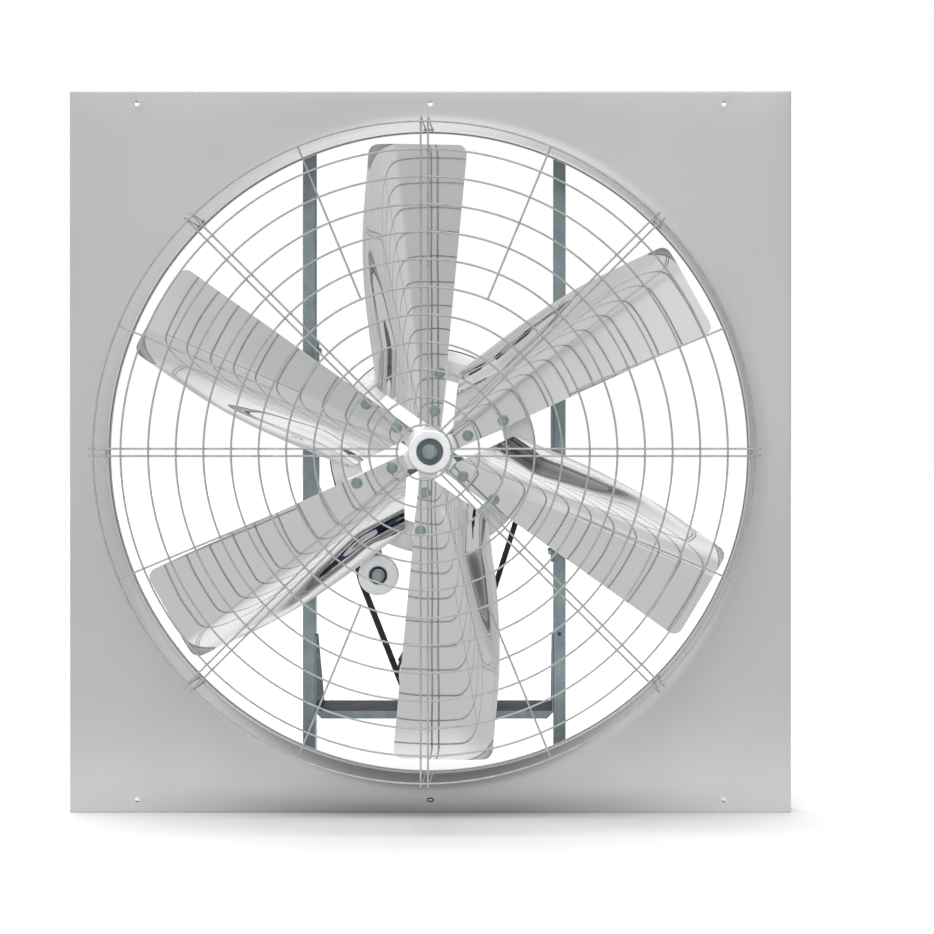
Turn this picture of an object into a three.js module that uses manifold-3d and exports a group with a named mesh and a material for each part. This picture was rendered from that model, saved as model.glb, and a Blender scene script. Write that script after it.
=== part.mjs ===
// A belt-driven whole house fan: a square sheet-metal panel with a flared throat, a wire guard
// in front, a six-blade propeller bolted to a spoked hub pulley, and a foot-mounted motor on a
// shelf between two rails behind. A sprung idler keeps the belt tight.
//
// Millimetres. Inside the fan group the hub axis is the Y axis: y = 0 is the panel's front
// face, the guard lies toward -y, the motor toward +y, and +z is up.

import * as THREE from 'three';
import { mergeVertices } from 'three/addons/utils/BufferGeometryUtils.js';
import Module from 'manifold-3d';

const wasm = await Module();
wasm.setup();

// ---------------------------------------------------------------- driving dimensions

// Clearances
const SEAT_GAP = 0.3; // between pieces that touch
const BOLT_HOLE_GAP = 0.9; // round a bolt's shank
const AIR_GAP = 1.2; // between the motor's rotor and its stator

// Panel
const PANEL_SIZE = 1420;
const PANEL_SHEET = 1.5;
const PANEL_FLANGE = 40;
const PANEL_LIP = 14;
const THROAT_RADIUS = 616.5; // inside of the throat
const FLARE_RADIUS = 50;
const RIM_BEAD_RADIUS = 2.5;
const WALL_HOLE_RADIUS = 5;
const WALL_HOLE_INSET = 25.3;
const WALL_HOLE_SPREAD = 577.5;

// Guard
const GUARD_DISTANCE = 195; // ring plane to the panel's front face
const GUARD_RINGS = 12;
const GUARD_RIM_INSET = 6.9; // outer ring inside the throat
const GUARD_SECTORS = 8;
const GUARD_PAIR_SPACING = 13.4;
const GUARD_WIRE = 3.6; // diameter
const GUARD_SHORT_START = 6; // short radials start at this ring
const GUARD_TAB_LENGTH = 11;
const GUARD_TAB_SHEET = 1.6;
const GUARD_WELD_BITE = 0.5; // depth that welded wires share

// Propeller
const BLADE_COUNT = 6;
const FIRST_BLADE_ANGLE = 24.6;
const BLADE_SHEET = 2;
const BLADE_TIP_CLEARANCE = 12.5;
const BLADE_EDGE_OFFSET = 16.7; // straight edge beside the blade's axis
const BLADE_TIP_WIDTH = 193.7;
const BLADE_TIP_RAKE = 12;
const BLADE_CORNER = 18;
const BLADE_ROOT_SLOT = 24; // gap between a blade's root and the next blade's straight edge
const BLADE_ROOT_WIDTH = 122; // from the axis to the curved edge at the root
const BLADE_ROOT_RADIUS = 53; // round cut that keeps the root off the boss
const BLADE_SHOULDER = 118; // radius where the curved edge starts to swing out
const BLADE_FULL_WIDTH = 470; // radius where it has swung out fully
const BLADE_FLAT_END = 106; // radius up to which the bend runs along the axis
const BLADE_BEND_LEAN = 0.2; // how fast the bend moves off the axis beyond that
const BLADE_BEND_WIDTH = 80;
const BLADE_PITCH = 36; // slope behind the bend, degrees
const BLADE_TIP_PITCH = 29;
const BLADE_CREASE = 88; // from the axis to the lip's crease at the root
const BLADE_CREASE_START = 195; // radius where the crease starts to lean outward
const BLADE_CREASE_EDGE = 5; // from the crease to the curved edge where the lip runs out
const BLADE_LIP_DEPTH = 38; // swept lip behind the crease
const BLADE_LIP_FULL = 215; // radius up to which the lip keeps its depth
const BLADE_LIP_END = 427; // radius where the lip runs out
const BLADE_BOLT_LEAD = 1.4; // bolts lie this far clockwise of the blade's axis, degrees
const BLADE_BOLT_RADII = [80.6, 156];
const BLADE_BOLT_SIZE = 10;

// Hub pulley
const PAD_FACE_Y = -10;
const PAD_HALF_WIDTH = 14;
const PAD_HEIGHT = 5;
const SPOKE_WIDTH = 30;
const SPOKE_WEB = 10;
const SPOKE_RIB = 10;
const BOSS_RADIUS = 43;
const BOSS_PROUD = 12; // boss in front of the pads
const HUB_RING_INNER = 147;
const HUB_RING_WEB = 9;
const BORE_SHOULDER = 5.3;

// Belt drive
const BELT_PLANE_Y = 86;
const BELT_TOP_WIDTH = 17;
const BELT_HEIGHT = 11;
const BELT_WALL_ANGLE = 18;
const FAN_PITCH_RADIUS = 203;
const MOTOR_PITCH_RADIUS = 65;
const IDLER_PITCH_RADIUS = 37;
const PULLEY_WIDTH = 24.4;
const GROOVE_CLEARANCE = 0.35;
const GROOVE_FLOOR_DEPTH = 7; // below the pitch circle
const PULLEY_FLANGE_HEIGHT = 3; // above the pitch circle
const MOTOR_DROP = 453; // motor axis below the hub axis
const IDLER_X = -110;
const IDLER_Z = -250;

// Spindle and its bearings
const SPINDLE_RADIUS = 12.5;
const SPINDLE_TAIL_RADIUS = 15;
const SPINDLE_COLLAR_RADIUS = 18;
const SPINDLE_COLLAR_WIDTH = 5;
const BEARING_RADIUS = 26;
const BEARING_WIDTH = 15;
const SPINDLE_NUT_RADIUS = 25;
const SPINDLE_NUT_WIDTH = 16;

// Spindle spider
const SPIDER_FACE_Y = 127;
const SPIDER_ARM_ANGLE = 30;
const SPIDER_ARM_WIDTH = 36;
const SPIDER_SHEET = 5;
const SPIDER_BOSS_RADIUS = 34;
const SPIDER_FLANGE_HEIGHT = 452;

// Rails
const RAIL_SPACING = 490; // between the rails' inner faces
const RAIL_WIDTH = 25;
const RAIL_DEPTH = 30;
const RAIL_SHEET = 2.5;
const RAIL_FACE_Y = 133;
const BRACKET_SHEET = 3;
const BRACKET_HEIGHT = 46;
const BRACKET_FOOT = 56;
const BRACKET_EDGE = 4; // from the panel's lip to the bracket

// Motor shelf
const SHELF_SHEET = 3;
const SHELF_DEPTH = 129;
const SHELF_LIP = 16;
const SHELF_LIP_CHAMFER = 13;
const SHELF_GUSSET_HEIGHT = 155;

// Motor
const MOTOR_AXIS_HEIGHT = 80;
const MOTOR_FRAME_LENGTH = 138;
const MOTOR_FIN_RADIUS = 78;
const MOTOR_BODY_RADIUS = 67;
const MOTOR_FINS = 14;
const MOTOR_STATOR_BORE = 41;
const MOTOR_SHAFT_RADIUS = 9.5;
const MOTOR_SHAFT_LENGTH = 40;
const ROTOR_CORE_INSET = 28; // from each end of the frame to the rotor core
const MOTOR_FRONT_GAP = 6; // shield behind the pulley
const MOTOR_SHIELD = 20;
const MOTOR_REAR_SHIELD = 13;
const MOTOR_COWL_LENGTH = 46;
const MOTOR_COWL_SHEET = 2;
const MOTOR_FOOT_SPREAD = 62.5;
const MOTOR_FOOT_PITCH = 100;
const MOTOR_FOOT_THICKNESS = 10;
const TERMINAL_BOX = { width: 88, depth: 84, height: 46 };

// Belt tensioner
const TENSIONER_PIVOT_X = -139;
const TENSIONER_PIVOT_Z = -80;
const TENSIONER_ARM_WIDTH = 24;
const TENSIONER_ARM_SHEET = 5;
const TENSIONER_ARM_GAP = 3.5; // behind the pulleys
const TENSIONER_LIP = 11;
const TENSIONER_LIP_INSET = 28; // from the pivot and the idler's axis to the lip's ends
const TENSIONER_ANCHOR = 53; // from the idler's axis to the spring's anchor hole
const TENSIONER_BOLT_RADIUS = 5;
const SPRING_COILS = 4;
const SPRING_RADIUS = 10;
const SPRING_WIRE = 1.4; // radius
const SPRING_LEG = 26;
const IDLER_BEARING_RADIUS = 18;
const IDLER_BEARING_WIDTH = 14;
const IDLER_BOLT_RADIUS = 6;

// ---------------------------------------------------------------- derived places

const panelHalf = PANEL_SIZE / 2;
const throatOuter = THROAT_RADIUS + PANEL_SHEET;
const flareRadius = throatOuter + FLARE_RADIUS; // where the flare leaves the flat sheet
const guardOuterRing = THROAT_RADIUS - GUARD_RIM_INSET;
const ringPitch = guardOuterRing / GUARD_RINGS;
const bladeTip = THROAT_RADIUS - BLADE_TIP_CLEARANCE;
const bossFrontY = PAD_FACE_Y - BOSS_PROUD;
const pulleyFrontY = BELT_PLANE_Y - PULLEY_WIDTH / 2;
const pulleyBackY = BELT_PLANE_Y + PULLEY_WIDTH / 2;
const frontBearingY = bossFrontY + 2;
const rearBearingY = pulleyBackY - 3 - BEARING_WIDTH;
const collarY = rearBearingY + BEARING_WIDTH + SEAT_GAP;
const spiderBossY = collarY + SPINDLE_COLLAR_WIDTH + SEAT_GAP;
const railInner = RAIL_SPACING / 2;
const railBackY = RAIL_FACE_Y + RAIL_DEPTH;
const shelfTopZ = -MOTOR_DROP - MOTOR_AXIS_HEIGHT;
const motorFaceY = pulleyBackY + MOTOR_FRONT_GAP;
const motorFrameY = motorFaceY + MOTOR_SHIELD;
const motorFrameEndY = motorFrameY + MOTOR_FRAME_LENGTH;
const motorShieldEndY = motorFrameEndY + MOTOR_REAR_SHIELD;
const tensionerY = pulleyBackY + TENSIONER_ARM_GAP;
const tensionerBackY = tensionerY + TENSIONER_ARM_SHEET;
const beltWallSlope = Math.tan(THREE.MathUtils.degToRad(BELT_WALL_ANGLE));

// ---------------------------------------------------------------- solid modelling helpers

const rad = THREE.MathUtils.degToRad;

// A closed geometry as a solid for joining and cutting.
function solidOf(geometry) {
  const bare = geometry.clone();
  bare.deleteAttribute('normal');
  bare.deleteAttribute('uv');
  const merged = mergeVertices(bare, 1e-4);
  const corners = merged.index.array;
  const kept = [];
  for (let i = 0; i < corners.length; i += 3) {
    const [a, b, c] = [corners[i], corners[i + 1], corners[i + 2]];
    if (a !== b && b !== c && c !== a) kept.push(a, b, c);
  }
  return new wasm.Manifold(new wasm.Mesh({
    numProp: 3,
    vertProperties: Float32Array.from(merged.attributes.position.array),
    triVerts: Uint32Array.from(kept),
  }));
}

// A solid as a geometry that a mesh can hold.
function geometryOf(solid) {
  const mesh = solid.getMesh();
  const geometry = new THREE.BufferGeometry();
  geometry.setAttribute('position', new THREE.BufferAttribute(mesh.vertProperties, 3));
  geometry.setIndex(new THREE.BufferAttribute(mesh.triVerts, 1));
  geometry.computeVertexNormals();
  return geometry;
}

function joinAll(solids) {
  return solids.reduce((whole, solid) => whole.add(solid));
}

function cutAll(solid, cutters) {
  return cutters.reduce((rest, cutter) => rest.subtract(cutter), solid);
}

function box(x0, x1, y0, y1, z0, z1) {
  const geometry = new THREE.BoxGeometry(x1 - x0, y1 - y0, z1 - z0);
  geometry.translate((x0 + x1) / 2, (y0 + y1) / 2, (z0 + z1) / 2);
  return solidOf(geometry);
}

// A cylinder along Y, round the point (x, z).
function rod(radius, y0, y1, sides, x = 0, z = 0) {
  const geometry = new THREE.CylinderGeometry(radius, radius, y1 - y0, sides);
  geometry.translate(x, (y0 + y1) / 2, z);
  return solidOf(geometry);
}

// A closed profile of [radius, y] points turned about the Y axis.
function turned(profile, sides) {
  const points = profile.map(([radius, y]) => new THREE.Vector2(radius, y));
  if (THREE.ShapeUtils.area(points) < 0) points.reverse();
  points.push(points[0].clone());
  return solidOf(new THREE.LatheGeometry(points, sides));
}

function outline(points) {
  return new THREE.Shape(points.map(([a, b]) => new THREE.Vector2(a, b)));
}

// A plate facing the front: its outline is in x and z, from y0 to y1.
function frontPlate(shape, y0, y1, curveSegments = 8) {
  const geometry = new THREE.ExtrudeGeometry(shape, { depth: y1 - y0, bevelEnabled: false, curveSegments });
  geometry.rotateX(Math.PI / 2);
  geometry.translate(0, y1, 0);
  return solidOf(geometry);
}

// A plate facing sideways: its outline is in y and z, from x0 to x1.
function sidePlate(shape, x0, x1) {
  const geometry = new THREE.ExtrudeGeometry(shape, { depth: x1 - x0, bevelEnabled: false });
  const turn = new THREE.Matrix4().makeBasis(
    new THREE.Vector3(0, 1, 0),
    new THREE.Vector3(0, 0, 1),
    new THREE.Vector3(1, 0, 0),
  );
  geometry.applyMatrix4(turn);
  geometry.translate(x0, 0, 0);
  return solidOf(geometry);
}

// A bar standing up: its outline is in x and y, from z0 to z1.
function upright(shape, z0, z1) {
  const geometry = new THREE.ExtrudeGeometry(shape, { depth: z1 - z0, bevelEnabled: false });
  geometry.translate(0, 0, z0);
  return solidOf(geometry);
}

// A straight wire between two points.
function wire(from, to, radius, sides = 4) {
  const geometry = new THREE.CylinderGeometry(radius, radius, from.distanceTo(to), sides);
  const along = to.clone().sub(from).normalize();
  const turn = new THREE.Quaternion().setFromUnitVectors(new THREE.Vector3(0, 1, 0), along);
  geometry.applyQuaternion(turn);
  const middle = from.clone().add(to).multiplyScalar(0.5);
  geometry.translate(middle.x, middle.y, middle.z);
  return solidOf(geometry);
}

// Turns a solid about the Y axis, so that its +x side points to an angle measured from +x to +z.
function aimed(solid, degrees) {
  return solid.rotate([0, -degrees, 0]);
}

const materials = {
  panel: { color: 0xb9b9b8, roughness: 0.45, metalness: 0.2 },
  wire: { color: 0xa0a8a8, roughness: 0.35, metalness: 0.8 },
  zinc: { color: 0x82929a, roughness: 0.4, metalness: 0.7 },
  darkSteel: { color: 0x6a7276, roughness: 0.5, metalness: 0.6 },
  stainless: { color: 0xc8c6c4, roughness: 0.12, metalness: 1 },
  aluminium: { color: 0xdadcdc, roughness: 0.4, metalness: 0.6 },
  steel: { color: 0x9aa0a4, roughness: 0.3, metalness: 0.9 },
  seal: { color: 0x2c3033, roughness: 0.6, metalness: 0.1 },
  rubber: { color: 0x232626, roughness: 0.8, metalness: 0 },
  motorPaint: { color: 0x142a5c, roughness: 0.45, metalness: 0.2 },
  plastic: { color: 0x1c2024, roughness: 0.6, metalness: 0 },
};

const fan = new THREE.Group();

function piece(name, shape, finish, parent = fan) {
  const geometry = shape instanceof THREE.BufferGeometry ? shape : geometryOf(shape);
  const mesh = new THREE.Mesh(geometry, new THREE.MeshStandardMaterial(materials[finish]));
  mesh.name = name;
  parent.add(mesh);
  return mesh;
}

// ---------------------------------------------------------------- panel

// The pressed flare: a quarter bend out of the flat sheet, ending in a rolled bead.
function flareProfile() {
  const bendSteps = 4;
  const back = [];
  const front = [];
  for (let i = 0; i <= bendSteps; i += 1) {
    const angle = (Math.PI / 2) * (i / bendSteps);
    const [inward, forward] = [Math.sin(angle), Math.cos(angle)];
    const outer = FLARE_RADIUS + PANEL_SHEET;
    back.push([flareRadius - outer * inward, -FLARE_RADIUS + outer * forward]);
    front.push([flareRadius - FLARE_RADIUS * inward, -FLARE_RADIUS + FLARE_RADIUS * forward]);
  }
  const bead = [
    [THROAT_RADIUS, -FLARE_RADIUS - RIM_BEAD_RADIUS * 2],
    [THROAT_RADIUS + RIM_BEAD_RADIUS * 2, -FLARE_RADIUS - RIM_BEAD_RADIUS * 2],
    [THROAT_RADIUS + RIM_BEAD_RADIUS * 2, -FLARE_RADIUS],
  ];
  const root = flareRadius + PANEL_SHEET * 2;
  return [[root, PANEL_SHEET], ...back, ...bead, ...front.reverse(), [root, 0]];
}

function fanPanel() {
  const inside = panelHalf - PANEL_SHEET;
  const opening = panelHalf - PANEL_LIP;
  const lipY = PANEL_FLANGE - PANEL_SHEET;
  const tray = box(-panelHalf, panelHalf, 0, PANEL_FLANGE, -panelHalf, panelHalf);
  const sides = 48;
  const cutters = [
    box(-inside, inside, PANEL_SHEET, lipY, -inside, inside),
    box(-opening, opening, PANEL_SHEET, PANEL_FLANGE + 1, -opening, opening),
    rod(flareRadius + PANEL_SHEET, -1, PANEL_SHEET + 1, sides),
  ];
  for (const x of [-WALL_HOLE_SPREAD, 0, WALL_HOLE_SPREAD]) {
    for (const z of [-panelHalf + WALL_HOLE_INSET, panelHalf - WALL_HOLE_INSET]) {
      cutters.push(rod(WALL_HOLE_RADIUS, -1, PANEL_SHEET + 1, 8, x, z));
    }
  }
  return cutAll(tray, cutters).add(turned(flareProfile(), sides));
}

piece('fan_panel', fanPanel(), 'panel');

// ---------------------------------------------------------------- guard

const wireRadius = GUARD_WIRE / 2;
const radialY = -GUARD_DISTANCE + GUARD_WIRE - GUARD_WELD_BITE;
const legFrontRadius = throatOuter + wireRadius;
const legBackRadius = THROAT_RADIUS + RIM_BEAD_RADIUS * 2 + wireRadius + GUARD_TAB_SHEET + SEAT_GAP;

function guardRing(count) {
  const segments = 4 * Math.round(3 + count / 4);
  const geometry = new THREE.TorusGeometry(ringPitch * count, wireRadius, 4, segments);
  geometry.rotateX(Math.PI / 2);
  geometry.rotateY(Math.PI / segments);
  geometry.translate(0, -GUARD_DISTANCE, 0);
  return solidOf(geometry);
}

function guardRadial(start, end, offset, degrees) {
  const from = new THREE.Vector3(start, radialY, offset);
  const to = new THREE.Vector3(end, radialY, offset);
  return aimed(wire(from, to, wireRadius), degrees);
}

function guardGrille() {
  const wires = [];
  for (let count = 1; count <= GUARD_RINGS; count += 1) wires.push(guardRing(count));
  const step = 360 / GUARD_SECTORS;
  for (let sector = 0; sector < GUARD_SECTORS; sector += 1) {
    for (const side of [-0.5, 0.5]) {
      const offset = GUARD_PAIR_SPACING * side;
      wires.push(guardRadial(ringPitch - GUARD_WIRE, legFrontRadius + wireRadius, offset, sector * step));
    }
    const shortStart = ringPitch * GUARD_SHORT_START - wireRadius;
    wires.push(guardRadial(shortStart, guardOuterRing + wireRadius, 0, (sector + 0.5) * step));
  }
  return joinAll(wires);
}

// A pair of wires from the grille back to the throat's rim, with a welded fixing tab.
function guardLeg() {
  const frontY = radialY + wireRadius + SEAT_GAP;
  const rimY = -FLARE_RADIUS - RIM_BEAD_RADIUS * 2;
  const wires = [-0.5, 0.5].map((side) => {
    const offset = GUARD_PAIR_SPACING * side;
    const from = new THREE.Vector3(legFrontRadius, frontY, offset);
    const to = new THREE.Vector3(legBackRadius, -FLARE_RADIUS, offset);
    return wire(from, to, wireRadius);
  });
  const tabInner = legBackRadius - wireRadius - GUARD_TAB_SHEET;
  const tabOuter = tabInner + GUARD_TAB_SHEET + GUARD_WELD_BITE * 2;
  const tabY = rimY - 2;
  const tabHalf = GUARD_PAIR_SPACING / 2 + GUARD_WIRE;
  const tab = box(tabInner, tabOuter, tabY, tabY + GUARD_TAB_LENGTH, -tabHalf, tabHalf);
  return joinAll([...wires, tab]);
}

piece('guard_grille', guardGrille(), 'wire');

for (let sector = 0; sector < GUARD_SECTORS; sector += 1) {
  const leg = piece(`guard_leg_${sector + 1}`, guardLeg(), 'wire');
  leg.rotation.y = -rad((sector * 360) / GUARD_SECTORS);
}

// ---------------------------------------------------------------- propeller

const bladeStep = 360 / BLADE_COUNT;
const bladeBackY = PAD_FACE_Y - SEAT_GAP;
const bladeFarEdge = BLADE_TIP_WIDTH - BLADE_EDGE_OFFSET;

function between(value, low, high) {
  return THREE.MathUtils.clamp((value - low) / (high - low), 0, 1);
}

// Lines that run along a blade, as distances across it at radius u.
const bendStart = (u) => PAD_HALF_WIDTH - 1 + BLADE_BEND_LEAN * Math.max(0, u - BLADE_FLAT_END);
function lipStart(u) {
  const lean = bladeFarEdge - BLADE_CREASE_EDGE - BLADE_CREASE;
  return BLADE_CREASE + lean * between(u, BLADE_CREASE_START, BLADE_LIP_END);
}
function trailingEdge(u) {
  const share = Math.sin((Math.PI / 2) * between(u, BLADE_SHOULDER, BLADE_FULL_WIDTH));
  return BLADE_ROOT_WIDTH + (bladeFarEdge - BLADE_ROOT_WIDTH) * share;
}

// Depth of the blade's sheet behind its flat part, at radius u and distance v across.
function bladeDepth(u, v) {
  const share = between(u, BLADE_SHOULDER, bladeTip);
  const slope = Math.tan(rad(THREE.MathUtils.lerp(BLADE_PITCH, BLADE_TIP_PITCH, share)));
  const past = v - bendStart(u);
  const t = between(past, 0, BLADE_BEND_WIDTH);
  const bend = slope * BLADE_BEND_WIDTH * (t ** 3 - t ** 4 / 2);
  const crease = lipStart(u);
  const straight = slope * Math.max(0, Math.min(v, crease) - bendStart(u) - BLADE_BEND_WIDTH);
  const lipShare = between(v - crease, 0, Math.max(4, trailingEdge(u) - crease));
  const lipDepth = BLADE_LIP_DEPTH * (1 - between(u, BLADE_LIP_FULL, BLADE_LIP_END) ** 1.3);
  return bend + straight + lipDepth * (1 - (1 - lipShare) ** 1.8);
}

// Stations across the blade at radius u: flat part, bend, straight, crease and lip.
function bladeStations(u) {
  const bend = bendStart(u);
  const crease = Math.max(lipStart(u), bend + BLADE_BEND_WIDTH * 0.85);
  const far = Math.max(trailingEdge(u), crease + 8) + 6;
  const stations = [-BLADE_EDGE_OFFSET - 5];
  for (const share of [0, 0.25, 0.5, 0.75]) stations.push(bend + BLADE_BEND_WIDTH * share);
  stations.push(crease);
  for (const share of [0.45, 1]) stations.push(crease + (far - crease) * share);
  return stations;
}

// The formed sheet before its outline is cut: two skins a sheet apart, closed round the edge.
function bladeSheet() {
  const lipRadii = [0.33, 0.445, 0.585, 0.785, 1].map((share) => BLADE_LIP_END * share);
  const radii = [BLADE_FLAT_END / 3, BLADE_FLAT_END, ...lipRadii, bladeTip + 12];
  const rows = radii.map((u) => bladeStations(u).map((v) => [u, v, bladeDepth(u, v)]));
  const across = rows[0].length;
  const skin = rows.length * across;
  const points = [];
  for (const offset of [-BLADE_SHEET, 0]) {
    for (const [u, v, depth] of rows.flat()) points.push(u, bladeBackY + offset + depth, v);
  }
  const faces = [];
  const quad = (a, b, c, d) => faces.push(a, b, c, a, c, d);
  for (let i = 0; i + 1 < rows.length; i += 1) {
    for (let j = 0; j + 1 < across; j += 1) {
      const a = i * across + j;
      quad(a, a + across, a + across + 1, a + 1);
      quad(skin + a, skin + a + 1, skin + a + across + 1, skin + a + across);
    }
  }
  const rim = [];
  for (let j = 0; j + 1 < across; j += 1) rim.push(j);
  for (let i = 0; i + 1 < rows.length; i += 1) rim.push(i * across + across - 1);
  for (let j = across - 1; j > 0; j -= 1) rim.push((rows.length - 1) * across + j);
  for (let i = rows.length - 1; i > 0; i -= 1) rim.push(i * across);
  rim.forEach((a, k) => {
    const b = rim[(k + 1) % rim.length];
    quad(a, b, skin + b, skin + a);
  });
  const geometry = new THREE.BufferGeometry();
  geometry.setAttribute('position', new THREE.Float32BufferAttribute(points, 3));
  geometry.setIndex(faces);
  return solidOf(geometry);
}

// The blade's outline seen from the front: straight edge, rounded tip, curved edge, slanted root.
function bladeOutline() {
  const near = -BLADE_EDGE_OFFSET;
  const slant = Math.tan(rad(bladeStep));
  const rootLine = (BLADE_EDGE_OFFSET + BLADE_ROOT_SLOT) / Math.cos(rad(bladeStep));
  const rootAt = (v) => (v + rootLine) / slant;
  const farTip = bladeTip - BLADE_TIP_RAKE;
  const shape = new THREE.Shape();
  shape.moveTo(rootAt(near), near);
  shape.lineTo(bladeTip - BLADE_CORNER, near);
  shape.quadraticCurveTo(bladeTip, near, bladeTip, near + BLADE_CORNER);
  shape.lineTo(farTip, bladeFarEdge - BLADE_CORNER);
  shape.quadraticCurveTo(farTip, bladeFarEdge, farTip - BLADE_CORNER, bladeFarEdge);
  for (const share of [1, 0.8, 0.6, 0.4, 0.2]) {
    const u = THREE.MathUtils.lerp(BLADE_SHOULDER, BLADE_FULL_WIDTH, share);
    shape.lineTo(u, trailingEdge(u));
  }
  shape.lineTo(rootAt(BLADE_ROOT_WIDTH), BLADE_ROOT_WIDTH);
  return shape;
}

function blade() {
  const trim = frontPlate(bladeOutline(), -PANEL_SIZE, PANEL_SIZE, 3);
  const [cutFrom, cutTo] = [bladeBackY - BLADE_PITCH, bladeBackY + BLADE_PITCH];
  const cutters = BLADE_BOLT_RADII.map((radius) => {
    const lead = -rad(BLADE_BOLT_LEAD);
    const [u, v] = [radius * Math.cos(lead), radius * Math.sin(lead)];
    return rod(BLADE_BOLT_SIZE / 2 + BOLT_HOLE_GAP, cutFrom, cutTo, 6, u, v);
  });
  cutters.push(rod(BLADE_ROOT_RADIUS, cutFrom, cutTo, 20));
  return cutAll(bladeSheet().intersect(trim), cutters);
}

// A flanged hexagon bolt: its head stands in front of the blade and its shank ends in the pad.
function bladeBolt() {
  const seat = bladeBackY - BLADE_SHEET - SEAT_GAP;
  const shank = BLADE_BOLT_SIZE / 2;
  const collar = rod(shank * 2.26, seat - 2, seat, 8);
  const head = rod(shank * 1.7, seat - 8.5, seat - 1.5, 6);
  return joinAll([collar, head, rod(shank, seat - 1, PAD_FACE_Y + PAD_HEIGHT + SPOKE_WEB - 1, 6)]);
}

// ---------------------------------------------------------------- pulleys

// Half the belt's width at a height above its pitch line.
function beltHalfWidth(height) {
  return BELT_TOP_WIDTH / 2 + (height - BELT_HEIGHT / 2) * beltWallSlope;
}

// The V groove of a pulley, from front to back, as [radius, y] points.
function grooveProfile(pitchRadius) {
  const floor = beltHalfWidth(-GROOVE_FLOOR_DEPTH) + GROOVE_CLEARANCE;
  const mouth = beltHalfWidth(PULLEY_FLANGE_HEIGHT) + GROOVE_CLEARANCE;
  const flange = pitchRadius + PULLEY_FLANGE_HEIGHT;
  const bottom = pitchRadius - GROOVE_FLOOR_DEPTH;
  return [
    [flange, pulleyFrontY],
    [flange, BELT_PLANE_Y - mouth],
    [bottom, BELT_PLANE_Y - floor],
    [bottom, BELT_PLANE_Y + floor],
    [flange, BELT_PLANE_Y + mouth],
    [flange, pulleyBackY],
  ];
}

// The cast hub: a bored boss, six T-section spokes with bolting pads, and a grooved ring behind.
function hubPulley() {
  const rimInner = FAN_PITCH_RADIUS - 27;
  const webY = pulleyFrontY - HUB_RING_WEB;
  const ring = turned([
    [HUB_RING_INNER, webY],
    [FAN_PITCH_RADIUS - 18, webY],
    ...grooveProfile(FAN_PITCH_RADIUS),
    [rimInner, pulleyBackY],
    [rimInner, webY + HUB_RING_WEB],
    [HUB_RING_INNER, webY + HUB_RING_WEB],
  ], 36);
  const boss = turned([
    [BEARING_RADIUS + SEAT_GAP + 1, bossFrontY],
    [BOSS_RADIUS - 3, bossFrontY],
    [BOSS_RADIUS, bossFrontY + 3],
    [BOSS_RADIUS, pulleyBackY],
    [BEARING_RADIUS + SEAT_GAP, pulleyBackY],
    [BEARING_RADIUS + SEAT_GAP, rearBearingY - SEAT_GAP],
    [BEARING_RADIUS - BORE_SHOULDER, rearBearingY - SEAT_GAP],
    [BEARING_RADIUS - BORE_SHOULDER, frontBearingY + BEARING_WIDTH + SEAT_GAP],
    [BEARING_RADIUS + SEAT_GAP, frontBearingY + BEARING_WIDTH + SEAT_GAP],
    [BEARING_RADIUS + SEAT_GAP, bossFrontY + 1],
  ], 16);
  const spokes = [];
  const spokeEnd = BLADE_BOLT_RADII[1] + 24;
  const spokeStart = BOSS_RADIUS - 4;
  const webFrontY = PAD_FACE_Y + PAD_HEIGHT;
  const web = box(spokeStart, spokeEnd, webFrontY, webFrontY + SPOKE_WEB, -SPOKE_WIDTH / 2, SPOKE_WIDTH / 2);
  const pad = box(spokeStart + 18, spokeEnd - 4, PAD_FACE_Y, webFrontY + 1, -PAD_HALF_WIDTH, PAD_HALF_WIDTH);
  const rib = upright(outline([
    [spokeStart, webFrontY + 2],
    [spokeEnd, webFrontY + 2],
    [spokeEnd + 4, webY + 4],
    [HUB_RING_INNER + 3, webY + 4],
    [spokeStart, BELT_PLANE_Y - 20],
  ]), -SPOKE_RIB / 2, SPOKE_RIB / 2);
  const spoke = joinAll([web, pad, rib]);
  for (let i = 0; i < BLADE_COUNT; i += 1) {
    spokes.push(aimed(spoke, FIRST_BLADE_ANGLE - BLADE_BOLT_LEAD + i * bladeStep));
  }
  const body = joinAll([ring, boss, ...spokes]);
  const tapRadius = BLADE_BOLT_SIZE / 2 + BOLT_HOLE_GAP;
  const tapped = [];
  for (let i = 0; i < BLADE_COUNT; i += 1) {
    for (const radius of BLADE_BOLT_RADII) {
      const angle = rad(FIRST_BLADE_ANGLE - BLADE_BOLT_LEAD + i * bladeStep);
      const [x, z] = [radius * Math.cos(angle), radius * Math.sin(angle)];
      tapped.push(rod(tapRadius, PAD_FACE_Y - 1, webFrontY + SPOKE_WEB + 1, 6, x, z));
    }
  }
  return cutAll(body, tapped);
}

// A ball bearing with recessed seals.
function bearing(outerRadius, innerRadius, y, width) {
  const inner = innerRadius + (outerRadius - innerRadius) * 0.28;
  const outer = outerRadius - (outerRadius - innerRadius) * 0.2;
  const recess = 1;
  return turned([
    [innerRadius, y],
    [inner, y],
    [inner, y + recess],
    [outer, y + recess],
    [outer, y],
    [outerRadius, y],
    [outerRadius, y + width],
    [innerRadius, y + width],
  ], 16);
}

const propeller = new THREE.Group();
fan.add(propeller);
piece('hub_pulley', hubPulley(), 'aluminium', propeller);
for (const [end, y] of [['front', frontBearingY], ['rear', rearBearingY]]) {
  const shape = bearing(BEARING_RADIUS, SPINDLE_RADIUS + SEAT_GAP, y, BEARING_WIDTH);
  piece(`${end}_bearing`, shape, 'steel', propeller);
}

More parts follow.
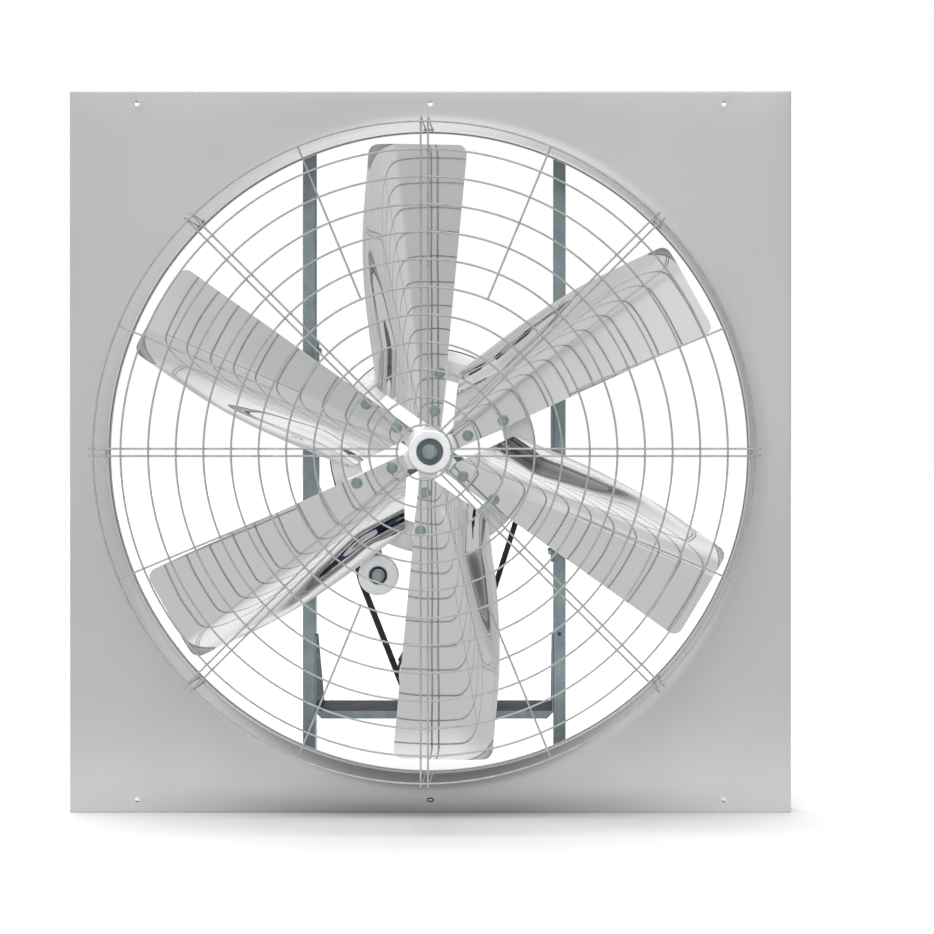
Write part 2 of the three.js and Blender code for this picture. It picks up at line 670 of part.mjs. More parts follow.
for (let i = 0; i < BLADE_COUNT; i += 1) {
  const angle = FIRST_BLADE_ANGLE + i * bladeStep;
  const mesh = piece(`blade_${i + 1}`, blade(), 'stainless', propeller);
  mesh.rotation.y = -rad(angle);
  BLADE_BOLT_RADII.forEach((radius, place) => {
    const at = rad(angle - BLADE_BOLT_LEAD);
    const bolt = piece(`blade_bolt_${i + 1}_${place ? 'outer' : 'inner'}`, bladeBolt(), 'zinc', propeller);
    bolt.position.set(radius * Math.cos(at), 0, radius * Math.sin(at));
  });
}

// ---------------------------------------------------------------- spindle and spider

function spindle() {
  return turned([
    [0, frontBearingY - 0.5],
    [SPINDLE_RADIUS, frontBearingY - 0.5],
    [SPINDLE_RADIUS, collarY],
    [SPINDLE_COLLAR_RADIUS, collarY],
    [SPINDLE_COLLAR_RADIUS, collarY + SPINDLE_COLLAR_WIDTH],
    [SPINDLE_TAIL_RADIUS, collarY + SPINDLE_COLLAR_WIDTH],
    [SPINDLE_TAIL_RADIUS, railBackY + SPINDLE_NUT_WIDTH + 4],
    [0, railBackY + SPINDLE_NUT_WIDTH + 4],
  ], 16);
}

// The bolt and washer that hold the front bearing on the spindle.
function spindleBolt() {
  const seat = frontBearingY - 0.5 - SEAT_GAP;
  return joinAll([rod(SPINDLE_RADIUS + 2.5, seat - 3, seat, 16), rod(13.2, seat - 11, seat - 2, 6)]);
}

function spindleNut() {
  const y = railBackY + SEAT_GAP;
  return rod(SPINDLE_NUT_RADIUS, y, y + SPINDLE_NUT_WIDTH, 6)
    .subtract(rod(SPINDLE_TAIL_RADIUS + SEAT_GAP, y - 1, y + SPINDLE_NUT_WIDTH + 1, 16));
}

// Four arms from the rails' inner faces to a boss that holds the spindle.
function spindleSpider() {
  const flangeOuter = railInner - SEAT_GAP;
  const flangeInner = flangeOuter - SPIDER_SHEET;
  const reach = flangeOuter / Math.cos(rad(SPIDER_ARM_ANGLE));
  const halfWidth = SPIDER_ARM_WIDTH / 2;
  const half = SPIDER_FLANGE_HEIGHT / 2;
  const armPlate = box(0, reach, SPIDER_FACE_Y, SPIDER_FACE_Y + SPIDER_SHEET, -halfWidth, halfWidth);
  const armRib = box(0, reach, SPIDER_FACE_Y + 1, railBackY - 3, -SPIDER_SHEET / 2, SPIDER_SHEET / 2);
  const arm = armPlate.add(armRib);
  const angles = [1, -1].flatMap((side) => [side * SPIDER_ARM_ANGLE, 180 + side * SPIDER_ARM_ANGLE]);
  const arms = joinAll(angles.map((angle) => aimed(arm, angle)))
    .intersect(box(-flangeOuter + 1, flangeOuter - 1, 0, railBackY + 1, -half, half));
  const flanges = [-1, 1].map((side) => {
    const [x0, x1] = side < 0 ? [-flangeOuter, -flangeInner] : [flangeInner, flangeOuter];
    return box(x0, x1, SPIDER_FACE_Y - 7, railBackY, -half, half);
  });
  const boss = rod(SPIDER_BOSS_RADIUS, spiderBossY, railBackY, 20);
  const [pivotX, pivotZ] = [TENSIONER_PIVOT_X, TENSIONER_PIVOT_Z];
  const bores = [
    rod(SPINDLE_TAIL_RADIUS + SEAT_GAP, spiderBossY - 1, railBackY + 1, 16),
    rod(TENSIONER_BOLT_RADIUS + SEAT_GAP, SPIDER_FACE_Y - 1, railBackY + 1, 12, pivotX, pivotZ),
  ];
  return cutAll(joinAll([arms, ...flanges, boss]), bores);
}

piece('spindle', spindle(), 'steel');
piece('spindle_bolt', spindleBolt(), 'zinc');
piece('spindle_nut', spindleNut(), 'zinc');
piece('spindle_spider', spindleSpider(), 'zinc');

// ---------------------------------------------------------------- rails and brackets

// A channel whose web faces the middle of the fan.
function rail(side) {
  const web = railInner;
  const outer = railInner + RAIL_WIDTH;
  const points = [
    [web, RAIL_FACE_Y],
    [outer, RAIL_FACE_Y],
    [outer, RAIL_FACE_Y + RAIL_SHEET],
    [web + RAIL_SHEET, RAIL_FACE_Y + RAIL_SHEET],
    [web + RAIL_SHEET, railBackY - RAIL_SHEET],
    [outer, railBackY - RAIL_SHEET],
    [outer, railBackY],
    [web, railBackY],
  ];
  return upright(outline(points.map(([x, y]) => [x * side, y])), -panelHalf, panelHalf);
}

// An angle bracket from the panel's back to a rail's inner face, with a folded stiffener.
function railBracket(side, end) {
  const outerX = railInner - SEAT_GAP;
  const innerX = outerX - BRACKET_SHEET;
  const topZ = panelHalf - PANEL_LIP - BRACKET_EDGE;
  const lowZ = topZ - BRACKET_HEIGHT;
  const footY = PANEL_SHEET + SEAT_GAP;
  const arm = box(innerX, outerX, footY, railBackY - 3, lowZ, topZ);
  const foot = box(innerX, innerX + BRACKET_FOOT, footY, footY + BRACKET_SHEET, lowZ, topZ);
  const fold = box(innerX - 14, innerX + 1, footY, railBackY - 3, topZ - BRACKET_SHEET, topZ);
  const mirror = [side < 0 ? -1 : 1, 1, end < 0 ? -1 : 1];
  return joinAll([arm, foot, fold]).scale(mirror);
}

for (const [sideName, side] of [['left', -1], ['right', 1]]) {
  piece(`rail_${sideName}`, rail(side), 'zinc');
  for (const [endName, end] of [['upper', 1], ['lower', -1]]) {
    piece(`rail_bracket_${endName}_${sideName}`, railBracket(side, end), 'zinc');
  }
}

// ---------------------------------------------------------------- motor shelf

function motorShelf() {
  const outer = railInner - SEAT_GAP;
  const frontY = RAIL_FACE_Y;
  const backY = frontY + SHELF_DEPTH;
  const top = box(-outer, outer, frontY, backY, shelfTopZ - SHELF_SHEET, shelfTopZ);
  const lipShape = outline([
    [-outer, shelfTopZ],
    [-outer, shelfTopZ - 3],
    [-outer + SHELF_LIP_CHAMFER, shelfTopZ - SHELF_LIP],
    [outer - SHELF_LIP_CHAMFER, shelfTopZ - SHELF_LIP],
    [outer, shelfTopZ - 3],
    [outer, shelfTopZ],
  ]);
  const lips = [frontY, backY - SHELF_SHEET].map((y) => frontPlate(lipShape, y, y + SHELF_SHEET));
  const gusset = outline([
    [frontY, shelfTopZ - 1],
    [backY, shelfTopZ - 1],
    [frontY + RAIL_DEPTH, shelfTopZ + SHELF_GUSSET_HEIGHT],
    [frontY, shelfTopZ + SHELF_GUSSET_HEIGHT],
  ]);
  const gussets = [
    sidePlate(gusset, -outer, -outer + SHELF_SHEET),
    sidePlate(gusset, outer - SHELF_SHEET, outer),
  ];
  return joinAll([top, ...lips, ...gussets]);
}

piece('motor_shelf', motorShelf(), 'darkSteel');

// ---------------------------------------------------------------- motor

const motor = new THREE.Group();
motor.position.z = -MOTOR_DROP;
fan.add(motor);

// The finned frame with its feet. The stator fills it down to the rotor's bore.
function motorFrame() {
  const points = [];
  const step = 360 / MOTOR_FINS;
  for (let i = 0; i < MOTOR_FINS; i += 1) {
    const at = i * step;
    const corners = [
      [MOTOR_BODY_RADIUS, at],
      [MOTOR_FIN_RADIUS, at + step * 0.08],
      [MOTOR_FIN_RADIUS, at + step * 0.3],
      [MOTOR_BODY_RADIUS, at + step * 0.38],
    ];
    for (const [radius, degrees] of corners) {
      points.push([radius * Math.cos(rad(degrees)), radius * Math.sin(rad(degrees))]);
    }
  }
  const shell = frontPlate(outline(points), motorFrameY, motorFrameEndY);
  const footBottom = -MOTOR_AXIS_HEIGHT + SEAT_GAP;
  const footY = motorFrameY + 12;
  const footEndY = footY + MOTOR_FOOT_PITCH + 22;
  const feet = [-1, 1].flatMap((side) => {
    const [x0, x1] = side < 0 ? [-MOTOR_FOOT_SPREAD - 15, -34] : [34, MOTOR_FOOT_SPREAD + 15];
    const [w0, w1] = side < 0 ? [-46, -36] : [36, 46];
    return [
      box(x0, x1, footY, footEndY, footBottom, footBottom + MOTOR_FOOT_THICKNESS),
      box(w0, w1, footY, footEndY, footBottom + 1, -MOTOR_BODY_RADIUS * 0.6),
    ];
  });
  const pad = box(-TERMINAL_BOX.width / 2, TERMINAL_BOX.width / 2, motorFrameY + 24,
    motorFrameY + 24 + TERMINAL_BOX.depth, MOTOR_BODY_RADIUS - 14, MOTOR_FIN_RADIUS + 4);
  return joinAll([shell, ...feet, pad])
    .subtract(rod(MOTOR_STATOR_BORE, motorFrameY - 1, motorFrameEndY + 1, 20));
}

function motorFrontShield() {
  const hole = MOTOR_SHAFT_RADIUS + 2.5 + SEAT_GAP;
  return turned([
    [hole, motorFaceY],
    [hole + 14, motorFaceY],
    [hole + 17, motorFaceY + 6],
    [MOTOR_BODY_RADIUS - 12, motorFaceY + 8],
    [MOTOR_FIN_RADIUS - 3, motorFaceY + 13],
    [MOTOR_FIN_RADIUS - 3, motorFrameY - SEAT_GAP],
    [hole, motorFrameY - SEAT_GAP],
  ], 16);
}

function motorRearShield() {
  const hole = MOTOR_SHAFT_RADIUS + SEAT_GAP;
  return turned([
    [hole, motorFrameEndY + SEAT_GAP],
    [MOTOR_FIN_RADIUS - 5, motorFrameEndY + SEAT_GAP],
    [MOTOR_FIN_RADIUS - 5, motorShieldEndY - 4],
    [MOTOR_FIN_RADIUS - 16, motorShieldEndY],
    [hole, motorShieldEndY],
  ], 16);
}

// The pressed cowl over the cooling fan, with air slots in its end.
function motorCowl() {
  const inner = MOTOR_FIN_RADIUS - 5 + SEAT_GAP;
  const outer = inner + MOTOR_COWL_SHEET;
  const startY = motorShieldEndY - 8;
  const endY = startY + MOTOR_COWL_LENGTH;
  const shell = turned([
    [outer, startY],
    [outer, endY - 8],
    [outer - 8, endY],
    [0, endY],
    [0, endY - MOTOR_COWL_SHEET],
    [inner - 7, endY - MOTOR_COWL_SHEET],
    [inner, endY - 9],
    [inner, startY],
  ], 16);
  const slots = [];
  const slotCount = 6;
  for (let i = 0; i < slotCount; i += 1) {
    slots.push(aimed(box(22, outer - 16, endY - 5, endY + 1, -4, 4), (i * 360) / slotCount));
  }
  return cutAll(shell, slots);
}

const motorFanY = motorShieldEndY + 5;

function motorCoolingFan() {
  const bore = MOTOR_SHAFT_RADIUS + SEAT_GAP;
  const blades = [];
  const bladeCount = 6;
  const vane = box(bore + 4, MOTOR_FIN_RADIUS - 14, motorFanY, motorFanY + 20, -1.2, 1.2);
  for (let i = 0; i < bladeCount; i += 1) blades.push(aimed(vane, (i * 360) / bladeCount));
  const hub = rod(bore + 8, motorFanY, motorFanY + 20, 10);
  const disc = rod(MOTOR_FIN_RADIUS - 22, motorFanY, motorFanY + 2, 12);
  return joinAll([hub, disc, ...blades]).subtract(rod(bore, motorFanY - 1, motorFanY + 21, 16));
}

// Shaft, with the rotor core pressed on it.
function motorShaft() {
  const core = MOTOR_STATOR_BORE - AIR_GAP;
  const shoulderY = pulleyBackY + 1;
  const seat = MOTOR_SHAFT_RADIUS + 2.5;
  const coreY = motorFrameY + ROTOR_CORE_INSET;
  const coreEndY = motorFrameEndY - ROTOR_CORE_INSET;
  return turned([
    [0, shoulderY - MOTOR_SHAFT_LENGTH],
    [MOTOR_SHAFT_RADIUS, shoulderY - MOTOR_SHAFT_LENGTH],
    [MOTOR_SHAFT_RADIUS, shoulderY],
    [seat, shoulderY],
    [seat, coreY],
    [core, coreY],
    [core, coreEndY],
    [MOTOR_SHAFT_RADIUS, coreEndY],
    [MOTOR_SHAFT_RADIUS, motorFanY + 22],
    [0, motorFanY + 22],
  ], 16);
}

function motorPulley() {
  const bore = MOTOR_SHAFT_RADIUS + SEAT_GAP;
  return turned([
    [bore, pulleyFrontY - 6],
    [bore + 12, pulleyFrontY - 6],
    [bore + 12, pulleyFrontY + 5],
    [MOTOR_PITCH_RADIUS - 14, pulleyFrontY + 5],
    [MOTOR_PITCH_RADIUS - 12, pulleyFrontY],
    ...grooveProfile(MOTOR_PITCH_RADIUS),
    [bore, pulleyBackY],
  ], 20);
}

const boxFloorZ = MOTOR_FIN_RADIUS + 4 + SEAT_GAP;
const boxY = motorFrameY + 24;

// The wiring box: a body with a proud, overhanging lid.
function terminalBox() {
  const halfWidth = TERMINAL_BOX.width / 2;
  const top = boxFloorZ + TERMINAL_BOX.height;
  const boxEndY = boxY + TERMINAL_BOX.depth;
  const body = box(-halfWidth + 3, halfWidth - 3, boxY + 3, boxEndY - 3, boxFloorZ, top - 10);
  const lid = box(-halfWidth, halfWidth, boxY, boxEndY, top - 12, top);
  return joinAll([body, lid]);
}

// A cable gland on the box's right side: thread, hexagon and domed nut, with an open bore.
function cableGland() {
  const x = TERMINAL_BOX.width / 2 - 3 + SEAT_GAP;
  const steps = [
    [12, x, x + 6, 6],
    [9, x + 5, x + 12, 16],
    [11, x + 11, x + 20, 6],
  ];
  const body = joinAll(steps.map(([radius, from, to, sides]) => rod(radius, -to, -from, sides)));
  return body.subtract(rod(5, -x - 21, -x - 4, 12)).rotate([0, 0, 90]);
}

piece('motor_frame', motorFrame(), 'motorPaint', motor);
piece('motor_front_shield', motorFrontShield(), 'motorPaint', motor);
piece('motor_rear_shield', motorRearShield(), 'motorPaint', motor);
piece('motor_fan_cowl', motorCowl(), 'motorPaint', motor);
piece('motor_cooling_fan', motorCoolingFan(), 'plastic', motor);
piece('motor_shaft', motorShaft(), 'steel', motor);
piece('motor_pulley', motorPulley(), 'aluminium', motor);
piece('terminal_box', terminalBox(), 'motorPaint', motor);
const gland = piece('cable_gland', cableGland(), 'plastic', motor);
gland.position.set(0, boxY + TERMINAL_BOX.depth / 2, boxFloorZ + 17);

// ---------------------------------------------------------------- belt

// The belt's pitch line round the hub pulley, the idler and the motor pulley.
function beltStations() {
  const wheels = [
    { x: 0, z: 0, radius: FAN_PITCH_RADIUS, step: 7.5 },
    { x: IDLER_X, z: IDLER_Z, radius: IDLER_PITCH_RADIUS, step: 8 },
    { x: 0, z: -MOTOR_DROP, radius: MOTOR_PITCH_RADIUS, step: 11.25 },
  ];
  const leaving = wheels.map((wheel, i) => {
    const next = wheels[(i + 1) % wheels.length];
    const [dx, dz] = [next.x - wheel.x, next.z - wheel.z];
    const span = Math.hypot(dx, dz);
    const lean = (wheel.radius - next.radius) / span;
    const flat = Math.sqrt(1 - lean * lean);
    return Math.atan2((dz * lean - dx * flat) / span, (dx * lean + dz * flat) / span);
  });
  const stations = [];
  wheels.forEach((wheel, i) => {
    const from = leaving[(i + wheels.length - 1) % wheels.length];
    const turn = THREE.MathUtils.euclideanModulo(leaving[i] - from, 2 * Math.PI);
    const steps = Math.max(2, Math.ceil(turn / rad(wheel.step)));
    for (let k = 0; k <= steps; k += 1) stations.push({ ...wheel, angle: from + (turn * k) / steps });
  });
  return stations;
}

function driveBelt() {
  const stations = beltStations();
  const high = BELT_HEIGHT / 2;
  const section = [
    [high, -beltHalfWidth(high)],
    [high, beltHalfWidth(high)],
    [-high, beltHalfWidth(-high)],
    [-high, -beltHalfWidth(-high)],
  ];
  const points = [];
  for (const { x, z, radius, angle } of stations) {
    for (const [height, y] of section) {
      const reach = radius + height;
      points.push(x + reach * Math.cos(angle), BELT_PLANE_Y + y, z + reach * Math.sin(angle));
    }
  }
  const faces = [];
  const sides = section.length;
  for (let i = 0; i < stations.length; i += 1) {
    const here = i * sides;
    const next = ((i + 1) % stations.length) * sides;
    for (let k = 0; k < sides; k += 1) {
      const l = (k + 1) % sides;
      faces.push(here + k, next + l, next + k, here + k, here + l, next + l);
    }
  }
  const geometry = new THREE.BufferGeometry();
  geometry.setAttribute('position', new THREE.Float32BufferAttribute(points, 3));
  geometry.setIndex(faces);
  return geometry;
}

piece('drive_belt', driveBelt(), 'rubber');

// ---------------------------------------------------------------- belt tensioner

const armLength = Math.hypot(IDLER_X - TENSIONER_PIVOT_X, IDLER_Z - TENSIONER_PIVOT_Z);
const armLean = Math.atan2(IDLER_Z - TENSIONER_PIVOT_Z, IDLER_X - TENSIONER_PIVOT_X);
const armAngle = THREE.MathUtils.radToDeg(armLean);

const tensioner = new THREE.Group();
tensioner.position.set(TENSIONER_PIVOT_X, 0, TENSIONER_PIVOT_Z);
fan.add(tensioner);

// A flat arm with round ends, a folded lip and an anchor hole, lying along +x.
function tensionerArm() {
  const half = TENSIONER_ARM_WIDTH / 2;
  const shape = new THREE.Shape();
  shape.absarc(armLength, 0, half, -Math.PI / 2, Math.PI / 2, false);
  shape.absarc(0, 0, half, Math.PI / 2, (3 * Math.PI) / 2, false);
  const plate = frontPlate(shape, tensionerY, tensionerBackY, 8);
  const lipEnd = armLength - TENSIONER_LIP_INSET;
  const lip = box(TENSIONER_LIP_INSET, lipEnd, tensionerY, tensionerY + TENSIONER_LIP, half - 3, half);
  const holes = [
    rod(TENSIONER_BOLT_RADIUS + SEAT_GAP, tensionerY - 1, tensionerBackY + 1, 12),
    rod(IDLER_BOLT_RADIUS + BOLT_HOLE_GAP, tensionerY - 1, tensionerBackY + 1, 8, armLength, 0),
    rod(2.5, tensionerY - 1, tensionerBackY + 1, 8, armLength - TENSIONER_ANCHOR, 0),
  ];
  return aimed(cutAll(plate.add(lip), holes), armAngle);
}

// The pivot bolt runs through the arm, the spring and the spider's arm, with a nut behind.
function tensionerPivotBolt() {
  const headY = tensionerY - SEAT_GAP;
  const nutY = railBackY - 3 + SEAT_GAP;
  return joinAll([
    rod(9, headY - 6, headY, 6),
    rod(TENSIONER_BOLT_RADIUS, headY - 1, nutY + 10, 10),
    rod(9, nutY, nutY + 8, 6),
  ]);
}

// The least gap between the turns of a wire, measured between its points half a turn or more apart.
function leastGap(points, stepsPerCoil, radius) {
  let least = Infinity;
  points.forEach((point, i) => {
    for (const other of points.slice(i + stepsPerCoil / 2)) least = Math.min(least, point.distanceTo(other));
  });
  return least - radius * 2;
}

// A torsion spring round the pivot bolt: a helix with a straight leg at each end.
function tensionerSpring() {
  const startY = tensionerBackY + SPRING_WIRE + SEAT_GAP;
  const endY = SPIDER_FACE_Y - SPRING_WIRE - SEAT_GAP;
  const stepsPerCoil = 8;
  const turns = SPRING_COILS * stepsPerCoil;
  const points = [new THREE.Vector3(SPRING_RADIUS, startY, -SPRING_LEG)];
  for (let i = 0; i <= turns; i += 1) {
    const angle = (2 * Math.PI * i) / stepsPerCoil;
    const y = startY + ((endY - startY) * i) / turns;
    points.push(new THREE.Vector3(SPRING_RADIUS * Math.cos(angle), y, SPRING_RADIUS * Math.sin(angle)));
  }
  points.push(new THREE.Vector3(SPRING_RADIUS, endY, SPRING_LEG));
  console.log(`least gap of the spring: ${leastGap(points, stepsPerCoil, SPRING_WIRE).toFixed(2)} mm`);
  const path = new THREE.CurvePath();
  for (let i = 0; i + 1 < points.length; i += 1) path.add(new THREE.LineCurve3(points[i], points[i + 1]));
  const section = outline([0, 1, 2, 3, 4].map((k) => {
    const angle = (2 * Math.PI * k) / 5;
    return [SPRING_WIRE * Math.cos(angle), SPRING_WIRE * Math.sin(angle)];
  }));
  const steps = turns + 8;
  return new THREE.ExtrudeGeometry(section, { steps, extrudePath: path, bevelEnabled: false });
}

piece('tensioner_arm', tensionerArm(), 'zinc', tensioner);
piece('tensioner_pivot_bolt', tensionerPivotBolt(), 'zinc', tensioner);
piece('tensioner_spring', tensionerSpring(), 'steel', tensioner);

const idler = new THREE.Group();
idler.position.set(IDLER_X, 0, IDLER_Z);
fan.add(idler);

const idlerBearingY = BELT_PLANE_Y - IDLER_BEARING_WIDTH / 2;

function idlerRoller() {
  const bore = IDLER_BEARING_RADIUS + SEAT_GAP;
  return turned([
    [bore, pulleyFrontY + 2],
    [bore + 2, pulleyFrontY],
    ...grooveProfile(IDLER_PITCH_RADIUS),
    [bore, pulleyBackY],
  ], 16);
}

// The idler's bolt: flanged head, shank, spacer collar and the nut behind the arm.
function idlerBolt() {
  const headY = idlerBearingY - SEAT_GAP;
  const collarStart = idlerBearingY + IDLER_BEARING_WIDTH + SEAT_GAP;
  const nutY = tensionerBackY + SEAT_GAP;
  return joinAll([
    rod(13.2, headY - 2, headY, 12),
    rod(10.5, headY - 9, headY - 1, 6),
    rod(IDLER_BOLT_RADIUS, headY - 1, nutY + 10, 8),
    rod(IDLER_BOLT_RADIUS + 4, collarStart, tensionerY - SEAT_GAP, 10),
    rod(10.5, nutY, nutY + 8, 6),
  ]);
}

piece('idler_roller', idlerRoller(), 'aluminium', idler);
const idlerBore = IDLER_BOLT_RADIUS + SEAT_GAP;
const idlerBearing = bearing(IDLER_BEARING_RADIUS, idlerBore, idlerBearingY, IDLER_BEARING_WIDTH);
piece('idler_bearing', idlerBearing, 'seal', idler);
piece('idler_bolt', idlerBolt(), 'zinc', idler);

// ---------------------------------------------------------------- whole fan

// The fan stands on its bottom flange: the origin is under the hub, midway through the flange.
fan.position.set(0, -PANEL_FLANGE / 2, panelHalf);

const wholeHouseFan = new THREE.Group();
wholeHouseFan.add(fan);

export default wholeHouseFan;
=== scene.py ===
# The looks of a belt-driven whole house fan: a pressed panel with a flared throat, a welded wire
# guard, six polished blades on a cast hub, and the drive behind them.
#
# Lengths are in millimetres in the fan's own frame until a mesh is placed: the hub axis is the
# Y axis, y = 0 is the panel's front face, and +z is up.

from math import atan2, ceil, cos, hypot, inf, pi, radians, sin, sqrt, tan

import bmesh
import bpy
from mathutils import Matrix, Vector


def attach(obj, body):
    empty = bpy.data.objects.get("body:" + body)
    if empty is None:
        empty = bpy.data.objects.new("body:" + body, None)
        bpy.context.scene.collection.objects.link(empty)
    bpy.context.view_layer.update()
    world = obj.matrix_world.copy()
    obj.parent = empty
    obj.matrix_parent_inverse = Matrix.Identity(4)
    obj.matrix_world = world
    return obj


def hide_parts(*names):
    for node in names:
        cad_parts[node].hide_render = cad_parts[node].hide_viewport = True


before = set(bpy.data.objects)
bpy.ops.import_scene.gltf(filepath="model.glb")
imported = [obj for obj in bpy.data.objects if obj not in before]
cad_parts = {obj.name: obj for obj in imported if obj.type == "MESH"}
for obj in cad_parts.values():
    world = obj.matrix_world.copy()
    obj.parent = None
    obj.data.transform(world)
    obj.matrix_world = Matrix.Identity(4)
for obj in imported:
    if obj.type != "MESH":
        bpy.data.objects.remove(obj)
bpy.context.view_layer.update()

# ------------------------------ sizes

MM = 0.001
FORWARD = (0, -1, 0)
BACKWARD = (0, 1, 0)

# Panel
PANEL_SIZE = 1420
PANEL_SHEET = 1.5
PANEL_FLANGE = 40
PANEL_LIP = 14
PANEL_FOLD = 3.5
THROAT_RADIUS = 616.5
FLARE_RADIUS = 50
RIM_BEAD_RADIUS = 2.5
WALL_HOLE_RADIUS = 5
WALL_HOLE_INSET = 25.3
WALL_HOLE_SPREAD = 577.5

# Guard
GUARD_DISTANCE = 195
GUARD_RINGS = 12
GUARD_RIM_INSET = 6.9
GUARD_SECTORS = 8
GUARD_PAIR_SPACING = 13.4
GUARD_WIRE = 3.6
GUARD_SHORT_START = 6
GUARD_TAB_LENGTH = 11
GUARD_TAB_SHEET = 1.6
GUARD_TAB_OVERHANG = 2
GUARD_BEND = 7

# Propeller
BLADE_COUNT = 6
FIRST_BLADE_ANGLE = 24.6
BLADE_SHEET = 2
BLADE_TIP_CLEARANCE = 12.5
BLADE_EDGE_OFFSET = 16.7
BLADE_TIP_WIDTH = 193.7
BLADE_TIP_RAKE = 12
BLADE_CORNER = 18
BLADE_ROOT_SLOT = 24
BLADE_ROOT_WIDTH = 122
BLADE_ROOT_RADIUS = 53
BLADE_SHOULDER = 118
BLADE_FULL_WIDTH = 470
BLADE_FLAT_END = 106
BLADE_BEND_LEAN = 0.2
BLADE_BEND_WIDTH = 80
BLADE_PITCH = 36
BLADE_TIP_PITCH = 29
BLADE_CREASE = 88
BLADE_CREASE_START = 195
BLADE_CREASE_EDGE = 5
BLADE_LIP_DEPTH = 38
BLADE_LIP_FULL = 215
BLADE_LIP_END = 427
BLADE_BOLT_LEAD = 1.4
BLADE_BOLT_RADII = (80.6, 156)
BLADE_BOLT_SIZE = 10
BLADE_STEP = 360 / BLADE_COUNT
BLADE_SHARP = 50

# Hub pulley
PAD_FACE_Y = -10
PAD_HALF_WIDTH = 14
PAD_HEIGHT = 5
SPOKE_WIDTH = 30
SPOKE_WEB = 10
SPOKE_RIB = 10
BOSS_RADIUS = 43
BOSS_PROUD = 12
HUB_RING_INNER = 147
HUB_RING_WEB = 9
HUB_RIM_DEPTH = 27

# Belt drive
BELT_PLANE_Y = 86
BELT_TOP_WIDTH = 17
BELT_HEIGHT = 11
BELT_WALL_ANGLE = 18
FAN_PITCH_RADIUS = 203
MOTOR_PITCH_RADIUS = 65
IDLER_PITCH_RADIUS = 37
PULLEY_WIDTH = 24.4
GROOVE_CLEARANCE = 0.35
GROOVE_FLOOR_DEPTH = 7
PULLEY_FLANGE_HEIGHT = 3
MOTOR_DROP = 453
IDLER = (-110, -250)

# Spindle and bearings
SPINDLE_RADIUS = 12.5
SPINDLE_TAIL_RADIUS = 15
SPINDLE_COLLAR_RADIUS = 18
BEARING_RADIUS = 26
BEARING_WIDTH = 15
SPINDLE_NUT_RADIUS = 25
SPINDLE_NUT_WIDTH = 16

# Rails, spider and shelf
RAIL_INNER = 245
RAIL_WIDTH = 25
RAIL_FACE_Y = 133
RAIL_DEPTH = 30
SPIDER_FACE_Y = 127
SPIDER_SHEET = 5
SPIDER_HOLE_HEIGHTS = (-206, -170, 170, 206)
SHELF_SHEET = 3
SHELF_HOLE_RISES = (22, 112)
RAIL_SHEET = 2.5
RAIL_HOLE_Z = -375
RAIL_HOLE_RADIUS = 4.5
BRACKET_SHEET = 3
BRACKET_HEIGHT = 46
BRACKET_EDGE = 4
BRACKET_RAIL_HOLES = (14, 32)
BRACKET_FOOT_HOLES = (12, 32)
BRACKET_FOOT_REACH = 40
FRAME_THREAD = 8

# Motor
MOTOR_AXIS_HEIGHT = 80
MOTOR_FRAME_LENGTH = 138
MOTOR_FIN_RADIUS = 78
MOTOR_BODY_RADIUS = 67
MOTOR_SHAFT_RADIUS = 9.5
MOTOR_SHOULDER_RADIUS = 12
MOTOR_SHAFT_LENGTH = 40
MOTOR_SHAFT_TAIL = 27
ROTOR_CORE_RADIUS = 39.8
ROTOR_CORE_INSET = 28
MOTOR_FRONT_GAP = 6
MOTOR_SHIELD = 20
MOTOR_REAR_SHIELD = 13
MOTOR_COWL_LENGTH = 46
MOTOR_COWL_SHEET = 2
MOTOR_FOOT_SPREAD = 62.5
MOTOR_FOOT_HOLES = (23, 123)
MOTOR_FOOT_THICKNESS = 10
SHIELD_BOLT_RADIUS = 60
BOX_PAD = 4
BOX_HEIGHT = 46
LID_SCREW_SPREAD = 36
LID_SCREW_PLACES = (32, 100)

# Tensioner
TENSIONER_PIVOT = (-139, -80)
TENSIONER_ARM_SHEET = 5
TENSIONER_ARM_GAP = 3.5
SPRING_COILS = 4
SPRING_RADIUS = 10
SPRING_WIRE = 1.4
SPRING_LEG = 26
IDLER_BEARING_RADIUS = 18
IDLER_BEARING_WIDTH = 14
IDLER_BOLT_RADIUS = 6
IDLER_BOLT_HEX = 10.4
PIVOT_BOLT_RADIUS = 5
PIVOT_BOLT_HEX = 9

SEAT_GAP = 0.3

# Derived places
PANEL_HALF = PANEL_SIZE / 2
FLARE_EDGE = THROAT_RADIUS + PANEL_SHEET + FLARE_RADIUS
GUARD_EDGE = THROAT_RADIUS - GUARD_RIM_INSET
RING_PITCH = GUARD_EDGE / GUARD_RINGS
BLADE_TIP = THROAT_RADIUS - BLADE_TIP_CLEARANCE
BLADE_BACK_Y = PAD_FACE_Y - SEAT_GAP
BLADE_FAR_EDGE = BLADE_TIP_WIDTH - BLADE_EDGE_OFFSET
BOSS_FRONT_Y = PAD_FACE_Y - BOSS_PROUD
PULLEY_FRONT_Y = BELT_PLANE_Y - PULLEY_WIDTH / 2
PULLEY_BACK_Y = BELT_PLANE_Y + PULLEY_WIDTH / 2
FRONT_BEARING_Y = BOSS_FRONT_Y + 2
REAR_BEARING_Y = PULLEY_BACK_Y - 3 - BEARING_WIDTH
COLLAR_Y = REAR_BEARING_Y + BEARING_WIDTH + SEAT_GAP
RAIL_BACK_Y = RAIL_FACE_Y + RAIL_DEPTH
SHELF_TOP_Z = -MOTOR_DROP - MOTOR_AXIS_HEIGHT
MOTOR_FACE_Y = PULLEY_BACK_Y + MOTOR_FRONT_GAP
MOTOR_FRAME_Y = MOTOR_FACE_Y + MOTOR_SHIELD
